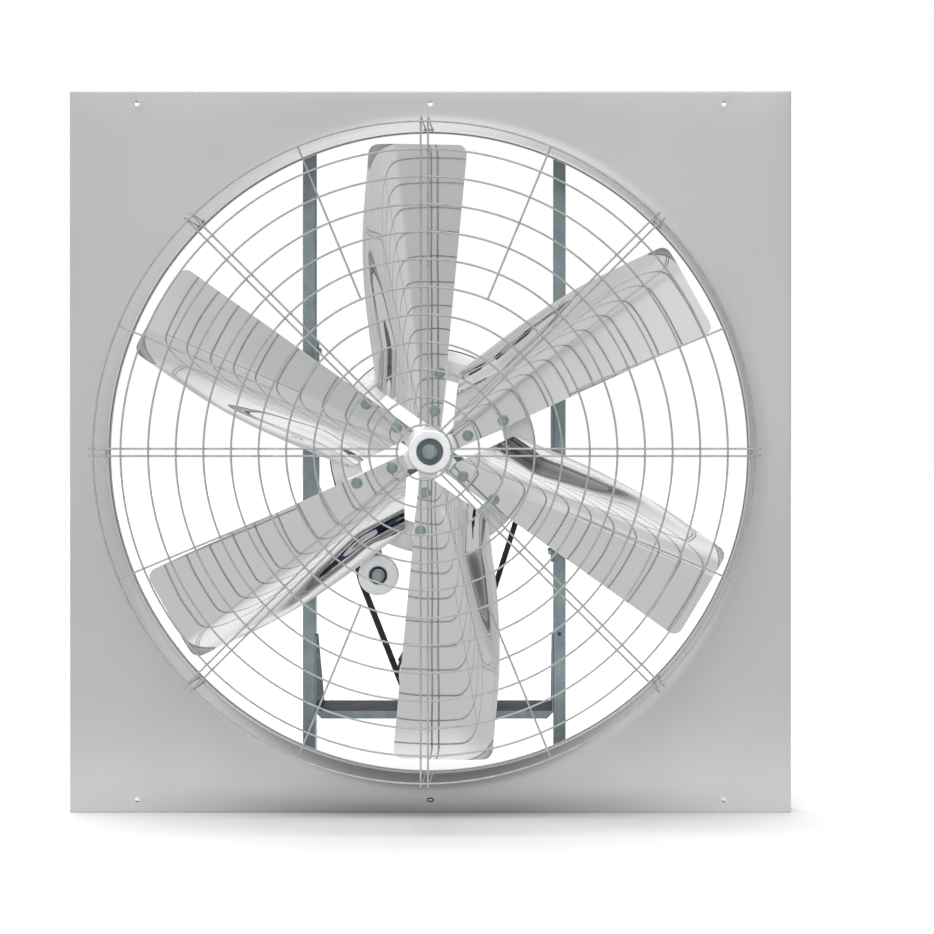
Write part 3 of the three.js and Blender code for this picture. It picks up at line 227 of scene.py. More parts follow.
MOTOR_FRAME_END_Y = MOTOR_FRAME_Y + MOTOR_FRAME_LENGTH
MOTOR_SHIELD_END_Y = MOTOR_FRAME_END_Y + MOTOR_REAR_SHIELD
TENSIONER_Y = PULLEY_BACK_Y + TENSIONER_ARM_GAP
TENSIONER_BACK_Y = TENSIONER_Y + TENSIONER_ARM_SHEET

FAN_PLACE = Matrix.Scale(MM, 4) @ Matrix.Translation((0, -PANEL_FLANGE / 2, PANEL_HALF))


# ------------------------------ materials

WHITE = (1, 1, 1, 1)
NOISE_ENDS = (0.3, 0.7)


def add_node(tree, kind, inputs, operation=None):
    """A shader node whose inputs are given as values, or as the outputs that feed them."""
    node = tree.nodes.new(f"ShaderNode{kind}")
    if operation:
        node.operation = operation
    for socket, value in inputs.items():
        if isinstance(value, bpy.types.NodeSocket):
            tree.links.new(value, node.inputs[socket])
        else:
            node.inputs[socket].default_value = value
    return node


def map_range(tree, value, limits, smooth=False):
    """A value carried from one range to another: from its min and max, to its min and max."""
    names = ("From Min", "From Max", "To Min", "To Max")
    node = add_node(tree, "MapRange", {"Value": value, **dict(zip(names, limits))})
    if smooth:
        node.interpolation_type = "SMOOTHSTEP"
    return node.outputs["Result"]


def noise(tree, scale, detail=4.0, stretch=(1, 1, 1)):
    """Noise on the object's own coordinates, in metres."""
    place = add_node(tree, "TexCoord", {})
    mapping = add_node(tree, "Mapping", {"Vector": place.outputs["Object"], "Scale": stretch})
    inputs = {"Vector": mapping.outputs["Vector"], "Scale": scale, "Detail": detail}
    return add_node(tree, "TexNoise", inputs).outputs[0]


def finish(name, base, roughness, metallic=0.0, colours=None, roughnesses=None, bump=None,
           coat=None):
    """A Principled material whose colour, roughness and surface follow noise.

    colours and roughnesses are a low and a high value, then the noise's scale and detail. bump is
    a strength and a distance, then the noise's. coat is the clear coat's weight and roughness.
    """
    material = bpy.data.materials.new(name)
    material.use_nodes = True
    tree = material.node_tree
    sockets = tree.nodes["Principled BSDF"].inputs
    sockets["Base Color"].default_value = (*base, 1)
    sockets["Roughness"].default_value = roughness
    sockets["Metallic"].default_value = metallic
    if coat:
        sockets["Coat Weight"].default_value, sockets["Coat Roughness"].default_value = coat
    if colours:
        low, high, *texture = colours
        ramp = add_node(tree, "ValToRGB", {"Fac": noise(tree, *texture)})
        stops = ramp.color_ramp.elements
        for k, colour in enumerate((low, high)):
            stops[k].position = NOISE_ENDS[k]
            stops[k].color = (*colour, 1)
        tree.links.new(ramp.outputs["Color"], sockets["Base Color"])
    if roughnesses:
        low, high, *texture = roughnesses
        spread = map_range(tree, noise(tree, *texture), (*NOISE_ENDS, low, high))
        tree.links.new(spread, sockets["Roughness"])
    if bump:
        strength, distance, *texture = bump
        inputs = {"Strength": strength, "Distance": distance, "Height": noise(tree, *texture)}
        tree.links.new(add_node(tree, "Bump", inputs).outputs["Normal"], sockets["Normal"])
    return material


def plated(name, low, high, roughness, speckle):
    """Zinc plating: cloudy blue-grey patches over a fine grain."""
    return finish(name, high, roughness, 0.85, (low, high, speckle, 8.0),
                  (roughness - 0.08, roughness + 0.1, speckle * 0.4), (0.08, 0.0005, 700.0, 3.0))


def seal(name, colour):
    """A moulded bearing shield with a fine grain."""
    return finish(name, colour, 0.5, roughnesses=(0.42, 0.62, 200.0),
                  bump=(0.08, 0.0003, 1500.0, 2.0))


FINISHES = {
    # Satin light grey metallic paint on pressed sheet, which is never quite flat.
    "panel": finish(
        "panel_paint", (0.53, 0.53, 0.525), 0.33, 0.6,
        ((0.515, 0.515, 0.509), (0.548, 0.548, 0.541), 3.0),
        (0.29, 0.37, 14.0), (0.03, 0.001, 9.0, 2.0), coat=(1.0, 0.2)),
    "guard_wire": finish(
        "guard_wire_finish", (0.47, 0.5, 0.5), 0.3, 0.8,
        ((0.4, 0.43, 0.43), (0.53, 0.56, 0.56), 60.0, 5.0),
        (0.22, 0.42, 25.0), (0.06, 0.0004, 1200.0, 2.0)),
    "zinc": plated("zinc_plate", (0.26, 0.32, 0.345), (0.37, 0.43, 0.455), 0.4, 28.0),
    # Zinc plating darkened to near black: painted shade, for the shelf's faces that don't face
    # front or back.
    "shelf": plated("shelf_painted_shade_plate", (0.07, 0.078, 0.08), (0.11, 0.12, 0.12), 0.5, 20.0),
    # Mirror-like rolled sheet: faint waviness bends the reflections, and wiping leaves haze.
    "stainless": finish(
        "polished_stainless", (0.76, 0.755, 0.75), 0.04, 1.0,
        ((0.745, 0.735, 0.73), (0.785, 0.777, 0.772), 5.0, 3.0),
        (0.02, 0.07, 7.0, 6.0), (0.5, 0.003, 6.0, 1.0)),
    # Pale shot-blasted casting with a fine grain.
    "cast_aluminium": finish(
        "cast_aluminium", (0.82, 0.83, 0.83), 0.45, 0.2,
        ((0.77, 0.785, 0.79), (0.86, 0.865, 0.865), 45.0, 6.0),
        (0.36, 0.56, 90.0), (0.2, 0.0005, 1400.0, 4.0)),
    "steel": finish(
        "ground_steel", (0.5, 0.51, 0.52), 0.28, 1.0,
        ((0.44, 0.45, 0.46), (0.58, 0.59, 0.6), 30.0, 5.0),
        bump=(0.08, 0.0004, 300.0, 3.0, (1, 6, 1))),
    "bearing_seal": seal("black_seal", (0.016, 0.018, 0.019)),
    "slate_seal": seal("slate_seal", (0.085, 0.115, 0.125)),
    # Matte black rubber with a dusting of wear.
    "belt": finish(
        "belt_rubber", (0.018, 0.019, 0.019), 0.78, 0.0,
        ((0.013, 0.014, 0.014), (0.03, 0.031, 0.03), 70.0, 6.0),
        bump=(0.25, 0.0005, 1100.0, 3.0)),
    "motor": finish(
        "motor_enamel", (0.014, 0.025, 0.07), 0.38, 0.0,
        ((0.011, 0.02, 0.058), (0.018, 0.031, 0.085), 12.0),
        (0.32, 0.48, 40.0), (0.12, 0.0006, 500.0, 3.0), coat=(0.3, 0.2)),
    "black_plastic": finish(
        "black_plastic", (0.02, 0.022, 0.026), 0.5,
        roughnesses=(0.44, 0.6, 80.0), bump=(0.12, 0.0003, 1800.0, 2.0)),
}


# ------------------------------ mesh helpers

def new_object(name, data):
    thing = bpy.data.objects.new(name, data)
    bpy.context.scene.collection.objects.link(thing)
    return thing


def add_piece(name, data, slot, body, replaced=(), extra_slots=()):
    """Links a mesh or a curve in the row frame as a piece that rides a body."""
    for finish_name in (slot, *extra_slots):
        data.materials.append(FINISHES[finish_name])
    piece = new_object(name, data)
    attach(piece, body)
    if replaced:
        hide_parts(*replaced)
    return piece


def shade(mesh, sharp=32):
    """Smooth shading but for edges sharper than this many degrees."""
    mesh.shade_smooth()
    mesh.set_sharp_from_angle(angle=radians(sharp))


def row_mesh(name, bm):
    """Turns a bmesh drawn in the fan's frame into a mesh in the row frame."""
    bmesh.ops.recalc_face_normals(bm, faces=bm.faces)
    mesh = bpy.data.meshes.new(name)
    bm.to_mesh(mesh)
    bm.free()
    mesh.transform(FAN_PLACE)
    return mesh


def place_mesh(name, bm, slot, body, replaced=(), extra_slots=(), sharp=32):
    """Closes a bmesh drawn in the fan's frame into a piece."""
    bmesh.ops.remove_doubles(bm, verts=bm.verts, dist=0.002)
    mesh = row_mesh(name, bm)
    shade(mesh, sharp)
    return add_piece(name, mesh, slot, body, replaced, extra_slots)


def dress(node, slot, body, width):
    """A copy of a CAD piece with its flat faces whole and its edges rounded."""
    bm = bmesh.new()
    bm.from_mesh(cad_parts[node].data)
    bmesh.ops.remove_doubles(bm, verts=bm.verts, dist=1e-6)
    bmesh.ops.dissolve_limit(bm, angle_limit=radians(1.5), verts=bm.verts, edges=bm.edges)
    mesh = bpy.data.meshes.new(f"{node}_finished")
    bm.to_mesh(mesh)
    bm.free()
    shade(mesh)
    return soften(add_piece(mesh.name, mesh, slot, body, [node]), width)


def soften(piece, width, segments=2, angle=35.0):
    """Rounds a piece's edges."""
    bevel = piece.modifiers.new("soften", "BEVEL")
    bevel.width = width * MM
    bevel.segments = segments
    bevel.limit_method = "ANGLE"
    bevel.angle_limit = radians(angle)
    bevel.harden_normals = True
    return piece


def apply_modifiers(piece):
    """Turns a piece's modifiers into mesh."""
    bpy.context.view_layer.update()
    shape = piece.evaluated_get(bpy.context.evaluated_depsgraph_get())
    mesh = bpy.data.meshes.new_from_object(shape)
    piece.modifiers.clear()
    piece.data = mesh
    return piece


def cut_away(piece, bm):
    """Cuts the solids of a bmesh drawn in the fan's frame out of a piece."""
    cutter = new_object("cutter", row_mesh("cutter", bm))
    cut = piece.modifiers.new("cut", "BOOLEAN")
    cut.object = cutter
    cut.operation = "DIFFERENCE"
    cut.solver = "EXACT"
    apply_modifiers(piece)
    bpy.data.objects.remove(cutter)


def bore_holes(piece, centres, radius, depth):
    """Cuts round holes along Y through a piece."""
    bm = bmesh.new()
    for centre in centres:
        disc(bm, Vector(centre) - Vector((0, depth / 2, 0)), BACKWARD, radius, depth, 24)
    cut_away(piece, bm)


def rounded(points, radius):
    """A closed outline with its corners rounded."""
    steps = 3
    result = []
    for i, point in enumerate(points):
        here = Vector(point)
        before, after = Vector(points[i - 1]), Vector(points[(i + 1) % len(points)])
        cut = min(radius, (here - before).length * 0.45, (here - after).length * 0.45)
        start = here + (before - here).normalized() * cut
        end = here + (after - here).normalized() * cut
        for k in range(steps + 1):
            t = k / steps
            result.append(tuple(start * (1 - t) ** 2 + here * 2 * t * (1 - t) + end * t * t))
    return result


def polar(radius, angle):
    return radius * cos(angle), radius * sin(angle)


def circle(radius, sides):
    return [polar(radius, 2 * pi * k / sides) for k in range(sides)]


def loop_sides(points):
    """The index pairs of a closed outline's sides."""
    return [(j, (j + 1) % len(points)) for j in range(len(points))]


def join_rings(bm, rings, sides, second_finish=()):
    """Joins every ring of points to the next, and the last to the first, along their sides."""
    for i, ring in enumerate(rings):
        other = rings[(i + 1) % len(rings)]
        for j, k in sides:
            face = bm.faces.new((ring[j], ring[k], other[k], other[j]))
            face.material_index = int(j in second_finish)


def lathe(bm, profile, segments, centre=(0, 0), flat_width=inf):
    """A closed profile of (radius, y) points turned about the Y axis through (x, z).

    Faces whose radius changes by more than flat_width take the second finish.
    """
    x, z = centre
    rings = [
        [bm.verts.new((x + max(r, 1e-4) * c, y, z + max(r, 1e-4) * s)) for r, y in profile]
        for c, s in circle(1, segments)
    ]
    radii = [r for r, _ in profile]
    sides = [(j, k) for j, k in loop_sides(profile) if max(radii[j], radii[k]) >= 1e-3]
    flat = [j for j, k in sides if abs(radii[j] - radii[k]) > flat_width]
    join_rings(bm, rings, sides, flat)


def turned(name, profile, segments, slot, body, node, centre=(0, 0)):
    """A lathed piece that replaces one CAD node."""
    bm = bmesh.new()
    lathe(bm, profile, segments, centre)
    place_mesh(name, bm, slot, body, [node])


def prism(bm, points, low, high, axis="y", turn=0.0, centre=(0, 0)):
    """An outline drawn out along Y or Z and turned about the Y axis."""
    spin = Matrix.Rotation(-radians(turn), 4, "Y")
    shift = Vector((centre[0], 0, centre[1]))
    ends = []
    for level in (low, high):
        corners = [(a, level, b) if axis == "y" else (a, b, level) for a, b in points]
        ends.append([bm.verts.new(spin @ Vector(corner) + shift) for corner in corners])
    bm.faces.new(ends[0])
    bm.faces.new(list(reversed(ends[1])))
    for i, k in loop_sides(points):
        bm.faces.new((ends[0][i], ends[1][i], ends[1][k], ends[0][k]))


def stack(bm, seat, away, levels, sides):
    """A solid of regular outlines of (radius, rise), standing on seat and pointing along away."""
    away = Vector(away).normalized()
    side = away.orthogonal().normalized()
    up = away.cross(side)
    rings = [
        [bm.verts.new(Vector(seat) + away * rise + side * a + up * b)
         for a, b in circle(size, sides)]
        for size, rise in levels
    ]
    for low, high in zip(rings, rings[1:]):
        for j, k in loop_sides(low):
            bm.faces.new((low[j], low[k], high[k], high[j]))
    bm.faces.new(rings[0])
    bm.faces.new(list(reversed(rings[-1])))


def hex_head(bm, seat, away, radius, height, chamfer=0.14):
    """A chamfered hexagon standing on seat."""
    levels = [(radius, 0), (radius, height * (1 - chamfer)), (radius * (1 - chamfer), height)]
    stack(bm, seat, away, levels, 6)


def disc(bm, seat, away, radius, height, sides=32, dome=0.0):
    """A round washer or pan head standing on seat."""
    edge = min(height * 0.35, radius * 0.2)
    levels = [(radius, 0), (radius, height - edge), (radius - edge, height)]
    if dome:
        levels += [(radius * 0.55, height + dome * 0.8), (radius * 0.15, height + dome)]
    stack(bm, seat, away, levels, sides)


def screw(bm, seat, away, size):
    """A hexagon bolt head on a washer, for a thread of this size."""
    away = Vector(away).normalized()
    washer = 0.16
    disc(bm, seat, away, size * 1.05, size * washer)
    hex_head(bm, Vector(seat) + away * size * washer, away, size * 0.95, size * 0.62)


def nut_end(bm, seat, away, size):
    """A nut on a washer, with the thread's end standing out of it."""
    away = Vector(away).normalized()
    screw(bm, seat, away, size)
    disc(bm, Vector(seat) + away * size * 0.7, away, size * 0.5, size * 0.45, 20)


def wires(name, paths, radius, slot, body, replaced=()):
    """Round wires along poly-lines in the fan's frame; a path is (points, closed)."""
    curve = bpy.data.curves.new(name, "CURVE")
    curve.dimensions = "3D"
    curve.bevel_depth = radius * MM
    curve.bevel_resolution = 2
    curve.use_fill_caps = True
    for points, closed in paths:
        spline = curve.splines.new("POLY")
        spline.points.add(len(points) - 1)
        for point, place in zip(spline.points, points):
            point.co = (*(FAN_PLACE @ Vector(place)), 1)
        spline.use_cyclic_u = closed
        spline.use_smooth = True
    add_piece(name, curve, slot, body, replaced)


# ------------------------------ panel

PANEL_SHARP = 40


def square_point(angle, half):
    """The point of a square's edge that lies at an angle seen from its middle."""
    c, s = cos(angle), sin(angle)
    reach = half / max(abs(c), abs(s))
    return reach * c, reach * s


def panel_section(angle):
    """The sheet's section at an angle: bead, flare, flat front, folded flange and lip."""
    c, s = cos(angle), sin(angle)
    rows = []
    for k in range(13):
        turn = radians(200 - 290 * k / 12)
        radius = THROAT_RADIUS + RIM_BEAD_RADIUS * (1 + cos(turn))
        y = -FLARE_RADIUS - RIM_BEAD_RADIUS * (1 - sin(turn))
        rows.append((radius * c, y, radius * s))
    for k in range(1, 15):
        turn = pi / 2 * (1 - k / 14)
        radius = FLARE_EDGE - FLARE_RADIUS * sin(turn)
        rows.append((radius * c, -FLARE_RADIUS * (1 - cos(turn)), radius * s))
    x, z = square_point(angle, PANEL_HALF - PANEL_FOLD)
    for share in (0.25, 0.6, 1.0):
        rows.append((FLARE_EDGE * c * (1 - share) + x * share, 0,
                     FLARE_EDGE * s * (1 - share) + z * share))
    turns = [pi / 2 * k / 4 for k in range(5)]
    bend = [(PANEL_FOLD * (1 - sin(t)), PANEL_FOLD * (1 - cos(t))) for t in turns]
    edge = [*bend[1:], *((y, PANEL_FLANGE - inset) for inset, y in bend), (PANEL_LIP, PANEL_FLANGE)]
    for inset, y in edge:
        x, z = square_point(angle, PANEL_HALF - inset)
        rows.append((x, y, z))
    return rows


def make_panel():
    bm = bmesh.new()
    sides = 256
    angles = [2 * pi * (i + 0.5) / sides + pi / sides for i in range(sides)]
    rings = [[bm.verts.new(point) for point in panel_section(angle)] for angle in angles]
    join_rings(bm, rings, loop_sides(rings[0])[:-1])
    panel = place_mesh("panel_sheet", bm, "panel", "frame", ["fan_panel"], sharp=PANEL_SHARP)
    sheet = panel.modifiers.new("sheet", "SOLIDIFY")
    sheet.thickness = PANEL_SHEET * MM
    sheet.offset = 1 if front_faces_back(panel) else -1
    sheet.use_even_offset = True
    apply_modifiers(panel)
    holes = [
        (x, 0, z)
        for x in (-WALL_HOLE_SPREAD, 0, WALL_HOLE_SPREAD)
        for z in (-PANEL_HALF + WALL_HOLE_INSET, PANEL_HALF - WALL_HOLE_INSET)
    ]
    bore_holes(panel, holes, WALL_HOLE_RADIUS, 12)
    shade(panel.data, PANEL_SHARP)


def front_faces_back(panel):
    """True if the flat front's normals point backward."""
    total = sum(p.normal.y * p.area for p in panel.data.polygons if abs(p.normal.y) > 0.9)
    return total > 0


def make_sill_grommet():
    """The oval grommet in the middle hole of the panel's lower border."""
    z = WALL_HOLE_INSET - PANEL_HALF
    half_width, half_height, bead = 5.6, 3.0, 1.3
    oval = [(half_width * c, -0.3, z + half_height * s) for c, s in circle(1, 32)]
    wires("sill_grommet", [(oval, True)], bead, "black_plastic", "frame")


make_panel()
make_sill_grommet()


# ------------------------------ guard

def turned_point(along, y, aside, degrees):
    """A point by its distance along a direction turned about the Y axis, and aside from it."""
    c, s = cos(radians(degrees)), sin(radians(degrees))
    return along * c - aside * s, y, along * s + aside * c


def make_guard():
    wire = GUARD_WIRE / 2
    weld_bite = 0.5
    radial_y = -GUARD_DISTANCE + GUARD_WIRE - weld_bite
    front_reach = THROAT_RADIUS + PANEL_SHEET + wire
    back_reach = THROAT_RADIUS + RIM_BEAD_RADIUS * 2 + wire + GUARD_TAB_SHEET + SEAT_GAP
    step = 360 / GUARD_SECTORS
    rings = [
        ([(x, -GUARD_DISTANCE, z) for x, z in circle(RING_PITCH * n, 160)], True)
        for n in range(1, GUARD_RINGS + 1)
    ]
    spokes, legs, welds = [], [], []
    for sector in range(GUARD_SECTORS):
        degrees = sector * step
        for side in (-0.5, 0.5):
            aside = GUARD_PAIR_SPACING * side
            points = [(RING_PITCH - GUARD_WIRE, radial_y), (front_reach - GUARD_BEND, radial_y)]
            for k in range(1, 7):
                turn = pi / 2 * k / 6
                points.append((front_reach - GUARD_BEND * (1 - sin(turn)),
                               radial_y + GUARD_BEND * (1 - cos(turn))))
            points.append((back_reach, -FLARE_RADIUS))
            legs.append(([turned_point(r, y, aside, degrees) for r, y in points], False))
            for n in range(1, GUARD_RINGS + 1):
                along = sqrt((RING_PITCH * n) ** 2 - aside ** 2)
                welds.append(turned_point(along, radial_y - wire, aside, degrees))
        between = degrees + step / 2
        start = RING_PITCH * GUARD_SHORT_START - wire
        spokes.append(([turned_point(start, radial_y, 0, between),
                        turned_point(GUARD_EDGE + wire, radial_y, 0, between)], False))
        welds += [turned_point(RING_PITCH * n, radial_y - wire, 0, between)
                  for n in range(GUARD_SHORT_START, GUARD_RINGS + 1)]
    wires("guard_rings", rings + spokes, wire, "guard_wire", "frame", ["guard_grille"])
    wires("guard_radials", legs, wire, "guard_wire", "frame",
          [f"guard_leg_{n + 1}" for n in range(GUARD_SECTORS)])
    make_welds(welds, wire)
    make_guard_tabs(back_reach - wire)


def make_welds(places, wire):
    """The small beads where the resistance welds squeezed the wires together."""
    bm = bmesh.new()
    for place in places:
        bead = Matrix.Diagonal((wire * 1.25, wire * 0.7, wire * 1.25, 1))
        bead = Matrix.Translation(place) @ bead
        bmesh.ops.create_icosphere(bm, subdivisions=1, radius=1.0, matrix=bead)
    place_mesh("guard_welds", bm, "guard_wire", "frame", sharp=80)


def make_guard_tabs(reach):
    """Fixing tabs behind the legs, each held to the rolled rim by a screw."""
    bm = bmesh.new()
    screws = bmesh.new()
    start = -FLARE_RADIUS - RIM_BEAD_RADIUS * 2 - GUARD_TAB_OVERHANG
    half = GUARD_PAIR_SPACING / 2 + GUARD_WIRE
    low = reach - GUARD_TAB_SHEET
    outline = [(low, -half), (reach, -half), (reach, half), (low, half)]
    for sector in range(GUARD_SECTORS):
        degrees = sector * 360 / GUARD_SECTORS
        prism(bm, outline, start, start + GUARD_TAB_LENGTH, "y", degrees)
        seat = turned_point(reach, start + GUARD_TAB_LENGTH / 2, 0, degrees)
        disc(screws, seat, turned_point(1, 0, 0, degrees), 3.2, 1.4, 20, 0.9)
    soften(place_mesh("guard_tabs", bm, "guard_wire", "frame"), 0.4)
    place_mesh("guard_screws", screws, "zinc", "frame")


make_guard()


# ------------------------------ blades

def share_between(value, low, high):
    return min(1.0, max(0.0, (value - low) / (high - low)))


def bend_start(u):
    return PAD_HALF_WIDTH - 1 + BLADE_BEND_LEAN * max(0.0, u - BLADE_FLAT_END)


def lip_start(u):
    lean = BLADE_FAR_EDGE - BLADE_CREASE_EDGE - BLADE_CREASE
    return BLADE_CREASE + lean * share_between(u, BLADE_CREASE_START, BLADE_LIP_END)


def trailing_edge(u):
    share = sin(pi / 2 * share_between(u, BLADE_SHOULDER, BLADE_FULL_WIDTH))
    return BLADE_ROOT_WIDTH + (BLADE_FAR_EDGE - BLADE_ROOT_WIDTH) * share


def raw_depth(u, v):
    """The pressed form's depth behind its flat part."""
    share = share_between(u, BLADE_SHOULDER, BLADE_TIP)
    slope = tan(radians(BLADE_PITCH + (BLADE_TIP_PITCH - BLADE_PITCH) * share))
    t = share_between(v - bend_start(u), 0, BLADE_BEND_WIDTH)
    bend = slope * BLADE_BEND_WIDTH * (t ** 3 - t ** 4 / 2)
    crease = lip_start(u)
    straight = slope * max(0.0, min(v, crease) - bend_start(u) - BLADE_BEND_WIDTH)
    lip_share = share_between(v - crease, 0, max(4.0, trailing_edge(u) - crease))
    lip_depth = BLADE_LIP_DEPTH * (1 - share_between(u, BLADE_LIP_FULL, BLADE_LIP_END) ** 1.3)
    return bend + straight + lip_depth * (1 - (1 - lip_share) ** 1.8)


def pressed_depth(u, v):
    """The same form with the crease rounded as a press tool rounds it."""
    spread = (-6, -3, 0, 3, 6)
    return sum(raw_depth(u, v + step) for step in spread) / len(spread)


def blade_root(v):
    """Distance from the axis to the root's edge, which leaves a slot beside the next blade."""
    line = (BLADE_EDGE_OFFSET + BLADE_ROOT_SLOT) / cos(radians(BLADE_STEP))
    slanted = (v + line) / tan(radians(BLADE_STEP))
    round_root = sqrt(max(0.0, BLADE_ROOT_RADIUS ** 2 - v ** 2))
    return max(slanted, round_root)


def blade_tip_at(v):
    """Radius of the tip's edge at a distance across the blade, with rounded corners."""
    from_near = v + BLADE_EDGE_OFFSET
    from_far = BLADE_FAR_EDGE - v
    across = share_between(from_near, BLADE_CORNER, BLADE_TIP_WIDTH - BLADE_CORNER)
    tip = BLADE_TIP - BLADE_TIP_RAKE * across
    for distance in (from_near, from_far):
        if distance < BLADE_CORNER:
            lost = 1 - max(0.0, distance) / BLADE_CORNER
            tip -= BLADE_CORNER * (1 - sqrt(max(0.0, 1 - lost * lost)))
    return tip


def blade_point(s, t):
    """The outline filled by two shares: s across the blade, t along it."""
    near = -BLADE_EDGE_OFFSET
    v = near + s * BLADE_TIP_WIDTH
    u = BLADE_TIP / 2
    for _ in range(12):
        u = blade_root(v) + (blade_tip_at(v) - blade_root(v)) * t
        v = near + s * (trailing_edge(u) - near)
    return u, v


def eased(count):
    """Shares from 0 to 1, closer together at both ends."""
    return [0.5 - 0.5 * cos(pi * k / count) for k in range(count + 1)]


def make_blade(number):
    angle = FIRST_BLADE_ANGLE + (number - 1) * BLADE_STEP
    bm = bmesh.new()
    across, along = eased(44), eased(72)
    grid = []
    for s in across:
        column = []
        for t in along:
            u, v = blade_point(s, t)
            y = BLADE_BACK_Y - BLADE_SHEET / 2 + pressed_depth(u, v)
            column.append(bm.verts.new(turned_point(u, y, v, angle)))
        grid.append(column)
    for left, right in zip(grid, grid[1:]):
        for k in range(len(along) - 1):
            bm.faces.new((left[k], right[k], right[k + 1], left[k + 1]))
    blade = place_mesh(f"blade_skin_{number}", bm, "stainless", "fan_rotor", [f"blade_{number}"],
                       sharp=BLADE_SHARP)
    sheet = blade.modifiers.new("sheet", "SOLIDIFY")
    sheet.thickness = BLADE_SHEET * MM
    sheet.offset = 0
    apply_modifiers(blade)
    shade(blade.data, BLADE_SHARP)
    soften(blade, 0.45, 2, 60)


for blade_number in range(1, BLADE_COUNT + 1):
    make_blade(blade_number)


def make_blade_bolts():
    """Flanged hexagon bolts, two to a blade, with domed flanges and chamfered heads."""
    seat_y = BLADE_BACK_Y - BLADE_SHEET - SEAT_GAP
    shank = BLADE_BOLT_SIZE / 2
    flange = [
        (0, seat_y), (shank * 2.2, seat_y), (shank * 2.24, seat_y - 0.5), (shank * 2.2, seat_y - 1),
        (shank * 1.8, seat_y - 2), (shank * 1.5, seat_y - 2.4), (0, seat_y - 2.4),
    ]
    for number in range(1, BLADE_COUNT + 1):
        angle = radians(FIRST_BLADE_ANGLE - BLADE_BOLT_LEAD + (number - 1) * BLADE_STEP)
        for place, radius in zip(("inner", "outer"), BLADE_BOLT_RADII):
            centre = polar(radius, angle)
            bm = bmesh.new()
            lathe(bm, flange, 48, centre)
            hex_head(bm, (centre[0], seat_y - 1.6, centre[1]), FORWARD, shank * 1.68, 6.9)
            lathe(bm, [(0, seat_y - 0.5), (shank, seat_y - 0.5), (shank, 4), (0, 4)], 24, centre)
            bolt = place_mesh(f"flange_bolt_{number}_{place}", bm, "zinc", "fan_rotor",
                              [f"blade_bolt_{number}_{place}"])
            soften(bolt, 0.25)


make_blade_bolts()


# ------------------------------ pulleys and hub

def belt_half_width(height):
    """Half the belt's width at a height above its pitch line."""
    return BELT_TOP_WIDTH / 2 + (height - BELT_HEIGHT / 2) * tan(radians(BELT_WALL_ANGLE))


def groove(pitch_radius):
    """The rim's outline, from the front flange's edge to the back one's."""
    floor = belt_half_width(-GROOVE_FLOOR_DEPTH) + GROOVE_CLEARANCE
    mouth = belt_half_width(PULLEY_FLANGE_HEIGHT) + GROOVE_CLEARANCE
    flange = pitch_radius + PULLEY_FLANGE_HEIGHT
    bottom = pitch_radius - GROOVE_FLOOR_DEPTH
    return [
        (flange, PULLEY_FRONT_Y), (flange, BELT_PLANE_Y - mouth), (bottom, BELT_PLANE_Y - floor),
        (bottom, BELT_PLANE_Y + floor), (flange, BELT_PLANE_Y + mouth), (flange, PULLEY_BACK_Y),
    ]


def make_hub():
    bm = bmesh.new()
    web_y = PULLEY_FRONT_Y - HUB_RING_WEB
    rim_inner = FAN_PITCH_RADIUS - HUB_RIM_DEPTH
    ring = [
        (HUB_RING_INNER, web_y), (rim_inner + 9, web_y), *groove(FAN_PITCH_RADIUS),
        (rim_inner, PULLEY_BACK_Y), (rim_inner, web_y + HUB_RING_WEB),
        (HUB_RING_INNER, web_y + HUB_RING_WEB),
    ]
    lathe(bm, rounded(ring, 1.6), 128)
    bore = BEARING_RADIUS + SEAT_GAP
    shoulder = BEARING_RADIUS - 5.3
    front_seat, back_seat = FRONT_BEARING_Y + BEARING_WIDTH + SEAT_GAP, REAR_BEARING_Y - SEAT_GAP
    boss = [
        (bore, BOSS_FRONT_Y), (BOSS_RADIUS - 2, BOSS_FRONT_Y), (BOSS_RADIUS, BOSS_FRONT_Y + 4),
        (BOSS_RADIUS, PULLEY_BACK_Y), (bore, PULLEY_BACK_Y), (bore, back_seat),
        (shoulder, back_seat), (shoulder, front_seat), (bore, front_seat),
    ]
    lathe(bm, rounded(boss, 1.4), 96)
    start = BOSS_RADIUS - 4
    end = BLADE_BOLT_RADII[1] + 24
    front = PAD_FACE_Y + PAD_HEIGHT
    half = SPOKE_WIDTH / 2
    web = [(start, -half - 5), (start + 14, -half), (end - 8, -half), (end, -half + 8),
           (end, half - 8), (end - 8, half), (start + 14, half), (start, half + 5)]
    pad = PAD_HALF_WIDTH - 0.5
    seat = [(start + 18, -pad), (end - 8, -pad), (end - 4, -pad + 4),
            (end - 4, pad - 4), (end - 8, pad), (start + 18, pad)]
    rib_side = [(start, front + 2), (end, front + 2), (end + 4, web_y + 4),
                (HUB_RING_INNER + 3, web_y + 4), (start, BELT_PLANE_Y - 20)]
    for number in range(BLADE_COUNT):
        angle = FIRST_BLADE_ANGLE - BLADE_BOLT_LEAD + number * BLADE_STEP
        prism(bm, web, front, front + SPOKE_WEB, "y", angle)
        prism(bm, seat, PAD_FACE_Y, front + 1, "y", angle)
        prism(bm, rib_side, -SPOKE_RIB / 2, SPOKE_RIB / 2, "z", angle)
    hub = place_mesh("hub_casting", bm, "cast_aluminium", "fan_rotor", ["hub_pulley"])
    soften(hub, 1.5, 3, 40)


make_hub()


def bearing_profile(outer, inner, y, width):
    """A sealed ball bearing: ground races with chamfers and a recessed seal on both faces."""
    inner_race = inner + (outer - inner) * 0.28
    outer_race = outer - (outer - inner) * 0.2
    edge = 0.6
    front = [(inner, y + edge), (inner + edge, y), (inner_race, y), (inner_race, y + 0.9),
             (outer_race, y + 0.9), (outer_race, y), (outer - edge, y), (outer, y + edge)]
    back = [(r, 2 * y + width - level) for r, level in reversed(front)]
    return front + back


